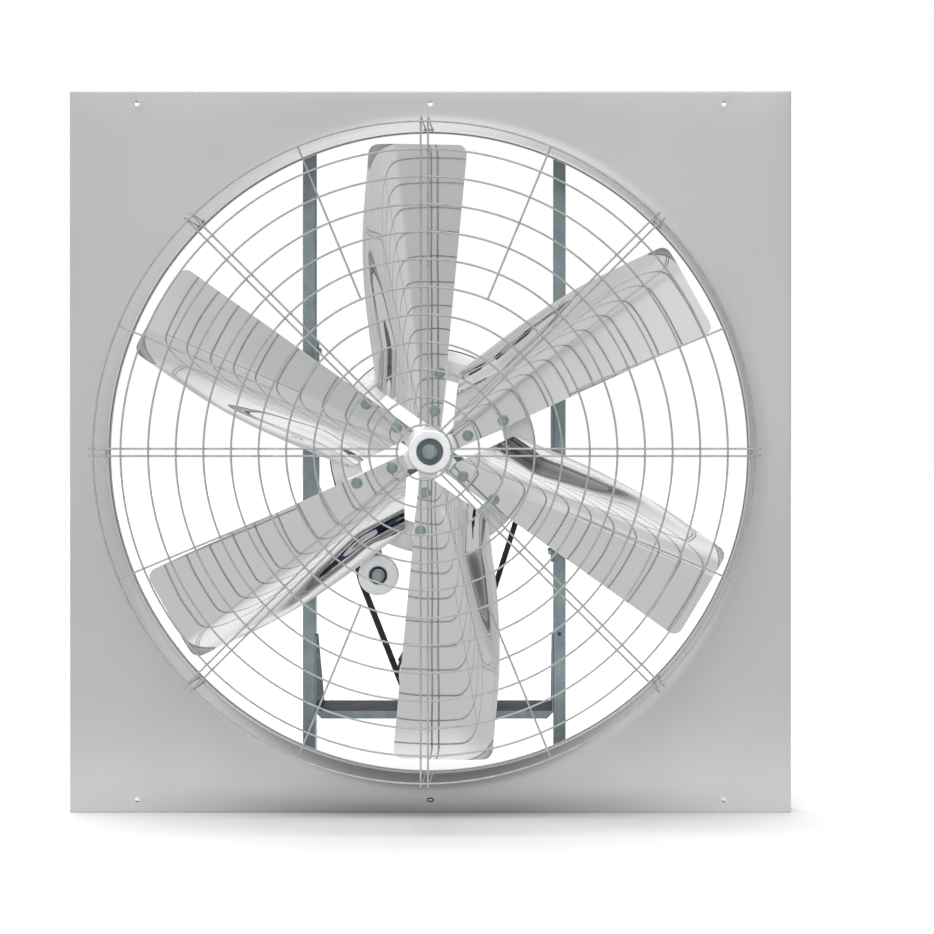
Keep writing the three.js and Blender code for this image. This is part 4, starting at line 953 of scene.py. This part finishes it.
def make_bearing(name, node, body, seal_finish, outer, inner, y, width, centre=(0, 0)):
    """Its flat faces take the seal's finish, and its cylinders and chamfers are ground steel."""
    bm = bmesh.new()
    lathe(bm, bearing_profile(outer, inner, y, width), 72, centre, 0.8)
    place_mesh(name, bm, "steel", body, [node], [seal_finish])


for bearing_end, bearing_y in (("front", FRONT_BEARING_Y), ("rear", REAR_BEARING_Y)):
    make_bearing(f"hub_bearing_{bearing_end}", f"{bearing_end}_bearing", "fan_rotor", "slate_seal",
                 BEARING_RADIUS, SPINDLE_RADIUS + SEAT_GAP, bearing_y, BEARING_WIDTH)
make_bearing("idler_bearing_sealed", "idler_bearing", "idler", "bearing_seal",
             IDLER_BEARING_RADIUS, IDLER_BOLT_RADIUS + SEAT_GAP,
             BELT_PLANE_Y - IDLER_BEARING_WIDTH / 2, IDLER_BEARING_WIDTH, IDLER)


def make_pulleys():
    bore = MOTOR_SHAFT_RADIUS + SEAT_GAP
    profile = [
        (bore, PULLEY_FRONT_Y - 6), (bore + 12, PULLEY_FRONT_Y - 6),
        (bore + 12, PULLEY_FRONT_Y + 5), (MOTOR_PITCH_RADIUS - 14, PULLEY_FRONT_Y + 5),
        (MOTOR_PITCH_RADIUS - 12, PULLEY_FRONT_Y),
        *groove(MOTOR_PITCH_RADIUS), (bore, PULLEY_BACK_Y),
    ]
    turned("motor_pulley_turned", rounded(profile, 1.0), 96, "cast_aluminium", "motor_rotor",
           "motor_pulley", (0, -MOTOR_DROP))
    bore = IDLER_BEARING_RADIUS + SEAT_GAP
    profile = [(bore, PULLEY_FRONT_Y + 2), (bore + 2, PULLEY_FRONT_Y), *groove(IDLER_PITCH_RADIUS),
               (bore, PULLEY_BACK_Y)]
    turned("idler_roller_turned", rounded(profile, 1.0), 96, "cast_aluminium", "idler",
           "idler_roller", IDLER)


make_pulleys()


# ------------------------------ belt

def belt_stations():
    """The pitch line round hub pulley, idler and motor pulley, as (x, z, radius, angle)."""
    wheels = [
        (0, 0, FAN_PITCH_RADIUS, 2.5),
        (*IDLER, IDLER_PITCH_RADIUS, 5),
        (0, -MOTOR_DROP, MOTOR_PITCH_RADIUS, 4),
    ]
    leaving = []
    for i, (x, z, radius, _) in enumerate(wheels):
        next_x, next_z, next_radius, _ = wheels[(i + 1) % len(wheels)]
        dx, dz = next_x - x, next_z - z
        span = hypot(dx, dz)
        lean = (radius - next_radius) / span
        flat = sqrt(1 - lean * lean)
        leaving.append(atan2((dz * lean - dx * flat) / span, (dx * lean + dz * flat) / span))
    stations = []
    for i, (x, z, radius, step) in enumerate(wheels):
        start = leaving[i - 1]
        turn = (leaving[i] - start) % (2 * pi)
        steps = max(2, ceil(turn / radians(step)))
        stations += [(x, z, radius, start + turn * k / steps) for k in range(steps + 1)]
    return stations


def make_belt():
    high = BELT_HEIGHT / 2
    top, bottom = belt_half_width(high), belt_half_width(-high)
    section = rounded([(high, -top), (high, top), (-high, bottom), (-high, -bottom)], 1.2)
    bm = bmesh.new()
    rings = []
    for x, z, radius, angle in belt_stations():
        c, s = cos(angle), sin(angle)
        rings.append([
            bm.verts.new((x + (radius + h) * c, BELT_PLANE_Y + y, z + (radius + h) * s))
            for h, y in section
        ])
    join_rings(bm, rings, loop_sides(section))
    place_mesh("belt_rubber_loop", bm, "belt", "frame", ["drive_belt"], sharp=50)


make_belt()


# ------------------------------ spindle and tensioner

def make_spindle():
    start = FRONT_BEARING_Y - 0.5
    tail_end = RAIL_BACK_Y + SPINDLE_NUT_WIDTH + 4
    thread_start = RAIL_BACK_Y - 2
    profile = [
        (0, start), (SPINDLE_RADIUS, start), (SPINDLE_RADIUS, COLLAR_Y),
        (SPINDLE_COLLAR_RADIUS, COLLAR_Y), (SPINDLE_COLLAR_RADIUS, COLLAR_Y + 5),
        (SPINDLE_TAIL_RADIUS, COLLAR_Y + 5), (SPINDLE_TAIL_RADIUS, thread_start),
    ]
    pitch = 2
    for k in range(round((tail_end - 1.5 - thread_start) / pitch)):
        y = thread_start + pitch * k
        profile += [(SPINDLE_TAIL_RADIUS - 1.1, y + pitch / 2), (SPINDLE_TAIL_RADIUS, y + pitch)]
    profile += [(SPINDLE_TAIL_RADIUS - 1.5, tail_end), (0, tail_end)]
    turned("spindle_turned", profile, 64, "steel", "frame", "spindle")

    seat = start - SEAT_GAP
    front = seat - 3
    edge = SPINDLE_RADIUS + 2.5
    bm = bmesh.new()
    lathe(bm, rounded([(0, seat), (edge, seat), (edge, front), (0, front)], 0.5), 64)
    hex_head(bm, (0, front, 0), FORWARD, 13.1, 7.9)
    soften(place_mesh("spindle_bolt_head", bm, "zinc", "frame", ["spindle_bolt"]), 0.3)

    nut_y = RAIL_BACK_Y + SEAT_GAP
    bm = bmesh.new()
    hex_head(bm, (0, nut_y, 0), BACKWARD, SPINDLE_NUT_RADIUS, SPINDLE_NUT_WIDTH, 0.1)
    soften(place_mesh("spindle_nut_hex", bm, "zinc", "frame", ["spindle_nut"]), 0.3)


make_spindle()


def make_tensioner():
    x, z = TENSIONER_PIVOT
    start_y = TENSIONER_BACK_Y + SPRING_WIRE + SEAT_GAP
    end_y = SPIDER_FACE_Y - SPRING_WIRE - SEAT_GAP
    points = [(x + SPRING_RADIUS, start_y, z - SPRING_LEG)]
    coil_steps = 32
    steps = SPRING_COILS * coil_steps
    for i in range(steps + 1):
        angle = 2 * pi * i / coil_steps
        y = start_y + (end_y - start_y) * i / steps
        points.append((x + SPRING_RADIUS * cos(angle), y, z + SPRING_RADIUS * sin(angle)))
    points.append((x + SPRING_RADIUS, end_y, z + SPRING_LEG))
    wires("tensioner_spring_coil", [(points, False)], SPRING_WIRE, "steel", "frame",
          ["tensioner_spring"])
    dress("tensioner_arm", "zinc", "tensioner", 0.7)

    head_y = TENSIONER_Y - SEAT_GAP
    nut_y = RAIL_BACK_Y - 3 + SEAT_GAP
    bm = bmesh.new()
    hex_head(bm, (x, head_y, z), FORWARD, PIVOT_BOLT_HEX, 6)
    shank = [(0, head_y - 1), (PIVOT_BOLT_RADIUS, head_y - 1), (PIVOT_BOLT_RADIUS, nut_y + 10),
             (0, nut_y + 10)]
    lathe(bm, shank, 32, TENSIONER_PIVOT)
    hex_head(bm, (x, nut_y, z), BACKWARD, PIVOT_BOLT_HEX, 8)
    soften(place_mesh("tensioner_pivot", bm, "zinc", "frame", ["tensioner_pivot_bolt"]), 0.3)

    bearing_y = BELT_PLANE_Y - IDLER_BEARING_WIDTH / 2
    head_y = bearing_y - SEAT_GAP
    collar_y = bearing_y + IDLER_BEARING_WIDTH + SEAT_GAP
    nut_y = TENSIONER_BACK_Y + SEAT_GAP
    bm = bmesh.new()
    flange = [(0, head_y), (13.1, head_y), (13.2, head_y - 1), (11.5, head_y - 2), (0, head_y - 2)]
    lathe(bm, flange, 48, IDLER)
    hex_head(bm, (IDLER[0], head_y - 1.8, IDLER[1]), FORWARD, IDLER_BOLT_HEX, 7.1)
    bolt, collar, collar_end = IDLER_BOLT_RADIUS, IDLER_BOLT_RADIUS + 4, TENSIONER_Y - SEAT_GAP
    shank = [
        (0, head_y - 1), (bolt, head_y - 1), (bolt, collar_y), (collar, collar_y),
        (collar, collar_end), (bolt, collar_end), (bolt, nut_y + 10), (0, nut_y + 10),
    ]
    lathe(bm, shank, 40, IDLER)
    hex_head(bm, (IDLER[0], nut_y, IDLER[1]), BACKWARD, IDLER_BOLT_HEX, 8)
    soften(place_mesh("idler_flange_bolt", bm, "zinc", "tensioner", ["idler_bolt"]), 0.3)


make_tensioner()


# ------------------------------ rails, brackets, spider and shelf

def make_rails():
    for side in ("left", "right"):
        rail = dress(f"rail_{side}", "zinc", "frame", 1.2)
        for end in ("upper", "lower"):
            dress(f"rail_bracket_{end}_{side}", "zinc", "frame", 1.0)
    apply_modifiers(rail)
    middle = RAIL_INNER + RAIL_WIDTH / 2
    bore_holes(rail, [(middle, RAIL_FACE_Y, RAIL_HOLE_Z)], RAIL_HOLE_RADIUS, 10)
    dress("spindle_spider", "zinc", "frame", 1.0)
    # Painted shade: the shelf's faces that don't face front or back take the darkened plating, and
    # those that do take plain zinc.
    shelf = apply_modifiers(dress("motor_shelf", "shelf", "frame", 1.0))
    shelf.data.materials.append(FINISHES["zinc"])
    for face in shelf.data.polygons:
        face.material_index = 1 if abs(face.normal.y) > 0.5 else 0


def make_frame_screws():
    """Bolts that hold the brackets, the spider and the shelf to the rails and the panel."""
    bm = bmesh.new()
    rail_y = RAIL_FACE_Y + RAIL_DEPTH / 2
    bracket_low = PANEL_HALF - PANEL_LIP - BRACKET_EDGE - BRACKET_HEIGHT
    plate = RAIL_INNER - BRACKET_SHEET - SEAT_GAP
    for side in (-1, 1):
        inward, outward = (-side, 0, 0), (side, 0, 0)
        nut_x = side * (RAIL_INNER + RAIL_SHEET)
        for end in (-1, 1):
            for offset in BRACKET_RAIL_HOLES:
                z = end * (bracket_low + offset)
                screw(bm, (side * plate, rail_y, z), inward, FRAME_THREAD)
                nut_end(bm, (nut_x, rail_y, z), outward, FRAME_THREAD)
            for offset in BRACKET_FOOT_HOLES:
                foot = (side * (plate + BRACKET_FOOT_REACH), PANEL_SHEET + SEAT_GAP + BRACKET_SHEET,
                        end * (bracket_low + offset))
                screw(bm, foot, BACKWARD, FRAME_THREAD)
        for z in SPIDER_HOLE_HEIGHTS:
            seat = (side * (RAIL_INNER - SEAT_GAP - SPIDER_SHEET), rail_y, z)
            screw(bm, seat, inward, FRAME_THREAD)
            nut_end(bm, (nut_x, rail_y, z), outward, FRAME_THREAD)
        for rise in SHELF_HOLE_RISES:
            seat = (side * (RAIL_INNER - SEAT_GAP - SHELF_SHEET), rail_y, SHELF_TOP_Z + rise)
            disc(bm, seat, inward, 6, 0.9, 24, 0.7)
            nut_end(bm, (nut_x, rail_y, SHELF_TOP_Z + rise), outward, FRAME_THREAD)
    soften(place_mesh("frame_screws", bm, "steel", "frame"), 0.2)


make_rails()
make_frame_screws()


# ------------------------------ motor

MOTOR_CENTRE = (0, -MOTOR_DROP)


def make_front_shield():
    hole = MOTOR_SHOULDER_RADIUS + SEAT_GAP
    edge = MOTOR_FIN_RADIUS - 3
    profile = [
        (hole, MOTOR_FACE_Y), (hole + 14, MOTOR_FACE_Y), (hole + 17, MOTOR_FACE_Y + 6),
        (MOTOR_BODY_RADIUS - 12, MOTOR_FACE_Y + 8), (edge, MOTOR_FACE_Y + 13),
        (edge, MOTOR_FRAME_Y - SEAT_GAP), (hole, MOTOR_FRAME_Y - SEAT_GAP),
    ]
    bm = bmesh.new()
    lathe(bm, rounded(profile, 2.5), 96, MOTOR_CENTRE)
    washer = 1.5
    for k in range(4):
        x, z = polar(SHIELD_BOLT_RADIUS, radians(45 + 90 * k))
        seat = Vector((x, MOTOR_FACE_Y + 9.5, z - MOTOR_DROP))
        disc(bm, seat, FORWARD, 7, washer)
        hex_head(bm, seat - Vector((0, washer, 0)), FORWARD, 5.2, 3.2)
    place_mesh("motor_shield_front", bm, "motor", "frame", ["motor_front_shield"])


def make_motor():
    dress("motor_frame", "motor", "frame", 0.9)
    make_front_shield()
    hole = MOTOR_SHAFT_RADIUS + SEAT_GAP
    start = MOTOR_FRAME_END_Y + SEAT_GAP
    edge = MOTOR_FIN_RADIUS - 5
    profile = [
        (hole, start), (edge, start), (edge, MOTOR_SHIELD_END_Y - 4),
        (edge - 11, MOTOR_SHIELD_END_Y), (hole, MOTOR_SHIELD_END_Y),
    ]
    turned("motor_shield_rear", rounded(profile, 1.5), 96, "motor", "frame", "motor_rear_shield",
           MOTOR_CENTRE)
    make_cowl(edge + SEAT_GAP)

    shoulder = PULLEY_BACK_Y + 1
    start, end = shoulder - MOTOR_SHAFT_LENGTH, MOTOR_SHIELD_END_Y + MOTOR_SHAFT_TAIL
    core_start, core_end = MOTOR_FRAME_Y + ROTOR_CORE_INSET, MOTOR_FRAME_END_Y - ROTOR_CORE_INSET
    profile = [
        (0, start), (MOTOR_SHAFT_RADIUS - 1, start), (MOTOR_SHAFT_RADIUS, start + 1),
        (MOTOR_SHAFT_RADIUS, shoulder), (MOTOR_SHOULDER_RADIUS, shoulder),
        (MOTOR_SHOULDER_RADIUS, core_start), (ROTOR_CORE_RADIUS, core_start),
        (ROTOR_CORE_RADIUS, core_end), (MOTOR_SHAFT_RADIUS, core_end),
        (MOTOR_SHAFT_RADIUS, end), (0, end),
    ]
    turned("motor_shaft_turned", profile, 64, "steel", "motor_rotor", "motor_shaft", MOTOR_CENTRE)
    dress("motor_cooling_fan", "black_plastic", "motor_rotor", 0.5)
    dress("terminal_box", "motor", "frame", 1.6)
    dress("cable_gland", "black_plastic", "frame", 0.5)
    make_motor_screws()


def make_cowl(inner):
    """The pressed cowl with its ring of air slots."""
    outer = inner + MOTOR_COWL_SHEET
    start = MOTOR_SHIELD_END_Y - 8
    end = start + MOTOR_COWL_LENGTH
    outside = rounded([(outer, start), (outer, end - 8), (outer - 8, end), (30, end)], 6)[:12]
    inside = [(0, end), (0, end - MOTOR_COWL_SHEET), (inner - 7, end - MOTOR_COWL_SHEET),
              (inner, end - 9), (inner, start)]
    bm = bmesh.new()
    lathe(bm, outside + inside, 96, MOTOR_CENTRE)
    cowl = place_mesh("motor_cowl_pressed", bm, "motor", "frame", ["motor_fan_cowl"])
    bm = bmesh.new()
    for k in range(6):
        slot = []
        for middle, turn in ((26, 0.5), (outer - 20, -0.5)):
            for x, z in (polar(4, pi * (turn + j / 6)) for j in range(7)):
                slot.append((middle + x, z))
        prism(bm, slot, end - 5, end + 1, "y", 60 * k, MOTOR_CENTRE)
    cut_away(cowl, bm)
    shade(cowl.data)


def make_motor_screws():
    """Foot bolts on the shelf, and the terminal box's lid screws."""
    bm = bmesh.new()
    foot_top = SHELF_TOP_Z + SEAT_GAP + MOTOR_FOOT_THICKNESS
    for x in (-MOTOR_FOOT_SPREAD, MOTOR_FOOT_SPREAD):
        for place in MOTOR_FOOT_HOLES:
            screw(bm, (x, MOTOR_FRAME_Y + place, foot_top), (0, 0, 1), FRAME_THREAD)
            nut_end(bm, (x, MOTOR_FRAME_Y + place, SHELF_TOP_Z - SHELF_SHEET), (0, 0, -1),
                    FRAME_THREAD)
    lid_top = -MOTOR_DROP + MOTOR_FIN_RADIUS + BOX_PAD + SEAT_GAP + BOX_HEIGHT
    for x in (-LID_SCREW_SPREAD, LID_SCREW_SPREAD):
        for place in LID_SCREW_PLACES:
            disc(bm, (x, MOTOR_FRAME_Y + place, lid_top - 0.9), (0, 0, 1), 3.4, 0.6, 20, 0.2)
    soften(place_mesh("motor_screws", bm, "zinc", "frame"), 0.2)


make_motor()


# ------------------------------ stage, light and camera

# How bright the floor's painted reflection glow is in mirrors: near distance, far distance, and its
# brightness at each.
# The foot is a painted shadow under the fan, which multiplies it.
MIRRORED_FLOOR = (0.4, 1.1, 1.12, 0.69)
MIRRORED_FOOT = (0.04, 0.34, 0.16, 1.0)
# In mirrors: bright panels in front and overhead, and dark stretches beside them.
MIRRORED_PANELS = [
    ((0.12, -0.65, 0.75), 27, 13, 0.48),
    ((-0.15, 0.3, 0.94), 42, 20, 0.25),
    ((0.62, 0.4, 0.68), 52, 22, -0.42),
    ((-0.07, -0.99, 0.087), 10, 2, -0.16),
    ((0.15, -0.99, 0), 13, 4, 0.14),
]
FLOOR_HALF = 30
# To the camera the floor is a matte grey with a faint glow of its own, and to diffuse rays darker.
FLOOR_SEEN_GREY = 0.4
FLOOR_GLOW = 0.06
FLOOR_BOUNCE_GREY = 0.16
FLOOR_OVAL = (0.45, 1, 1)
# A sky's brightest direction, and its brightness opposite to it and there.
LIGHT_SKY = ((-0.1, -0.3, 1), 0.3, 1.1)
MIRRORED_SKY = ((-0.25, -1, 0.3), 0.34, 0.76)


def show_by_ray(tree, output, seen, mirrored, other, clear=False):
    """Gives the camera's rays, the mirrors' rays and all others a shader each."""
    rays = add_node(tree, "LightPath", {}).outputs
    camera = rays["Is Camera Ray"]
    if clear:
        inputs = {0: camera, 1: rays["Is Transmission Ray"]}
        camera = add_node(tree, "Math", inputs, "MAXIMUM").outputs[0]
    unseen = add_node(tree, "MixShader", {"Fac": rays["Is Glossy Ray"], 1: other, 2: mirrored})
    mix = add_node(tree, "MixShader", {"Fac": camera, 1: unseen.outputs[0], 2: seen})
    add_node(tree, output, {"Surface": mix.outputs[0]})


def matte(tree, grey):
    return add_node(tree, "BsdfDiffuse", {"Color": (grey, grey, grey, 1)}).outputs[0]


def floor_finish():
    """White to the camera but for soft shadows; in its mirrors a painted glow, white near the fan
    with a painted shadow under its foot; or grey.
    """
    material = bpy.data.materials.new("pale_floor")
    material.use_nodes = True
    tree = material.node_tree
    tree.nodes.clear()
    glow = add_node(tree, "Emission", {"Color": WHITE, "Strength": FLOOR_GLOW}).outputs[0]
    seen = add_node(tree, "AddShader", {0: matte(tree, FLOOR_SEEN_GREY), 1: glow}).outputs[0]
    place = add_node(tree, "TexCoord", {}).outputs["Object"]
    oval = add_node(tree, "VectorMath", {0: place, 1: FLOOR_OVAL}, "MULTIPLY").outputs["Vector"]
    distance = add_node(tree, "VectorMath", {0: oval}, "LENGTH").outputs["Value"]
    # Painted reflection: the floor glows in mirrors, fading with distance, with a painted shadow
    # under the fan's foot.
    fades = [map_range(tree, distance, limits, True) for limits in (MIRRORED_FOOT, MIRRORED_FLOOR)]
    strength = add_node(tree, "Math", {0: fades[0], 1: fades[1]}, "MULTIPLY").outputs[0]
    mirrored = add_node(tree, "Emission", {"Strength": strength}).outputs[0]
    show_by_ray(tree, "OutputMaterial", seen, mirrored, matte(tree, FLOOR_BOUNCE_GREY))
    return material


def make_stage():
    mesh = bpy.data.meshes.new("floor")
    corners = [(-1, -1), (1, -1), (1, 1), (-1, 1)]
    mesh.from_pydata([(x * FLOOR_HALF, y * FLOOR_HALF, 0) for x, y in corners], [], [(0, 1, 2, 3)])
    floor = new_object("floor", mesh)
    mesh.materials.append(floor_finish())


def glow_towards(tree, towards, limits, smooth=False):
    """A value that changes as a direction nears another; the limits are map_range's."""
    place = add_node(tree, "TexCoord", {}).outputs["Generated"]
    inputs = {0: place, 1: Vector(towards).normalized()}
    along = add_node(tree, "VectorMath", inputs, "DOT_PRODUCT").outputs["Value"]
    return map_range(tree, along, limits, smooth)


def sky(tree, towards, low, high, panels=()):
    """A background that brightens towards a direction, with round soft panels.

    A panel is its direction, the angles of its edge and its full part in degrees, and what it adds.
    """
    total = glow_towards(tree, towards, (-1, 1, low, high))
    for direction, edge, full, amount in panels:
        reach = [cos(radians(angle)) for angle in (edge, full)]
        panel = glow_towards(tree, direction, (*reach, 0, amount), True)
        total = add_node(tree, "Math", {0: total, 1: panel}, "ADD").outputs[0]
    return add_node(tree, "Background", {"Color": WHITE, "Strength": total}).outputs[0]


def make_world():
    """A sky that is brighter above and to the left, and plain white to the camera."""
    world = bpy.data.worlds.new("studio")
    bpy.context.scene.world = world
    world.use_nodes = True
    tree = world.node_tree
    tree.nodes.clear()
    light = sky(tree, *LIGHT_SKY)
    mirrored = sky(tree, *MIRRORED_SKY, MIRRORED_PANELS)
    seen = add_node(tree, "Background", {"Color": WHITE, "Strength": 1.0}).outputs[0]
    show_by_ray(tree, "OutputWorld", seen, mirrored, light, clear=True)


def make_light(name, kind, place, target, power):
    """A light that mirrors don't show."""
    data = bpy.data.lights.new(name, kind)
    data.energy = power
    lamp = new_object(name, data)
    lamp.location = place
    lamp.rotation_euler = (Vector(target) - Vector(place)).to_track_quat("-Z", "Y").to_euler()
    lamp.visible_glossy = False
    return data


def make_lights():
    key = make_light("key", "AREA", (0.1, -5.5, 0.9), (0, 0, 0.7), 88)
    key.shape = "RECTANGLE"
    key.size, key.size_y = 3.5, 3
    overhead = make_light("overhead", "SUN", (-0.5, -0.15, 3.6), (0, 0, 0), 6.2)
    overhead.angle = radians(55)


def make_camera():
    """The photograph's viewpoint: level, 3 m in front of the panel, a little right of the hub."""
    distance = 3.0
    millimetres_per_pixel = 1.9676
    picture = 934
    sensor = 36
    principal = (520, 443)
    panel_centre = (430.4, 451.8)
    data = bpy.data.cameras.new("camera")
    data.sensor_width = sensor
    data.lens = sensor * distance / MM / millimetres_per_pixel / picture
    data.shift_x = (picture / 2 - principal[0]) / picture
    data.shift_y = (principal[1] - picture / 2) / picture
    camera = new_object("camera", data)
    aside = (principal[0] - panel_centre[0]) * millimetres_per_pixel * MM
    rise = (panel_centre[1] - principal[1]) * millimetres_per_pixel * MM
    camera.location = (aside, -PANEL_FLANGE / 2 * MM - distance, PANEL_HALF * MM + rise)
    camera.rotation_euler = (pi / 2, 0, 0)
    bpy.context.scene.camera = camera


make_stage()
make_world()
make_lights()
make_camera()
bpy.context.scene.view_settings.view_transform = "Standard"
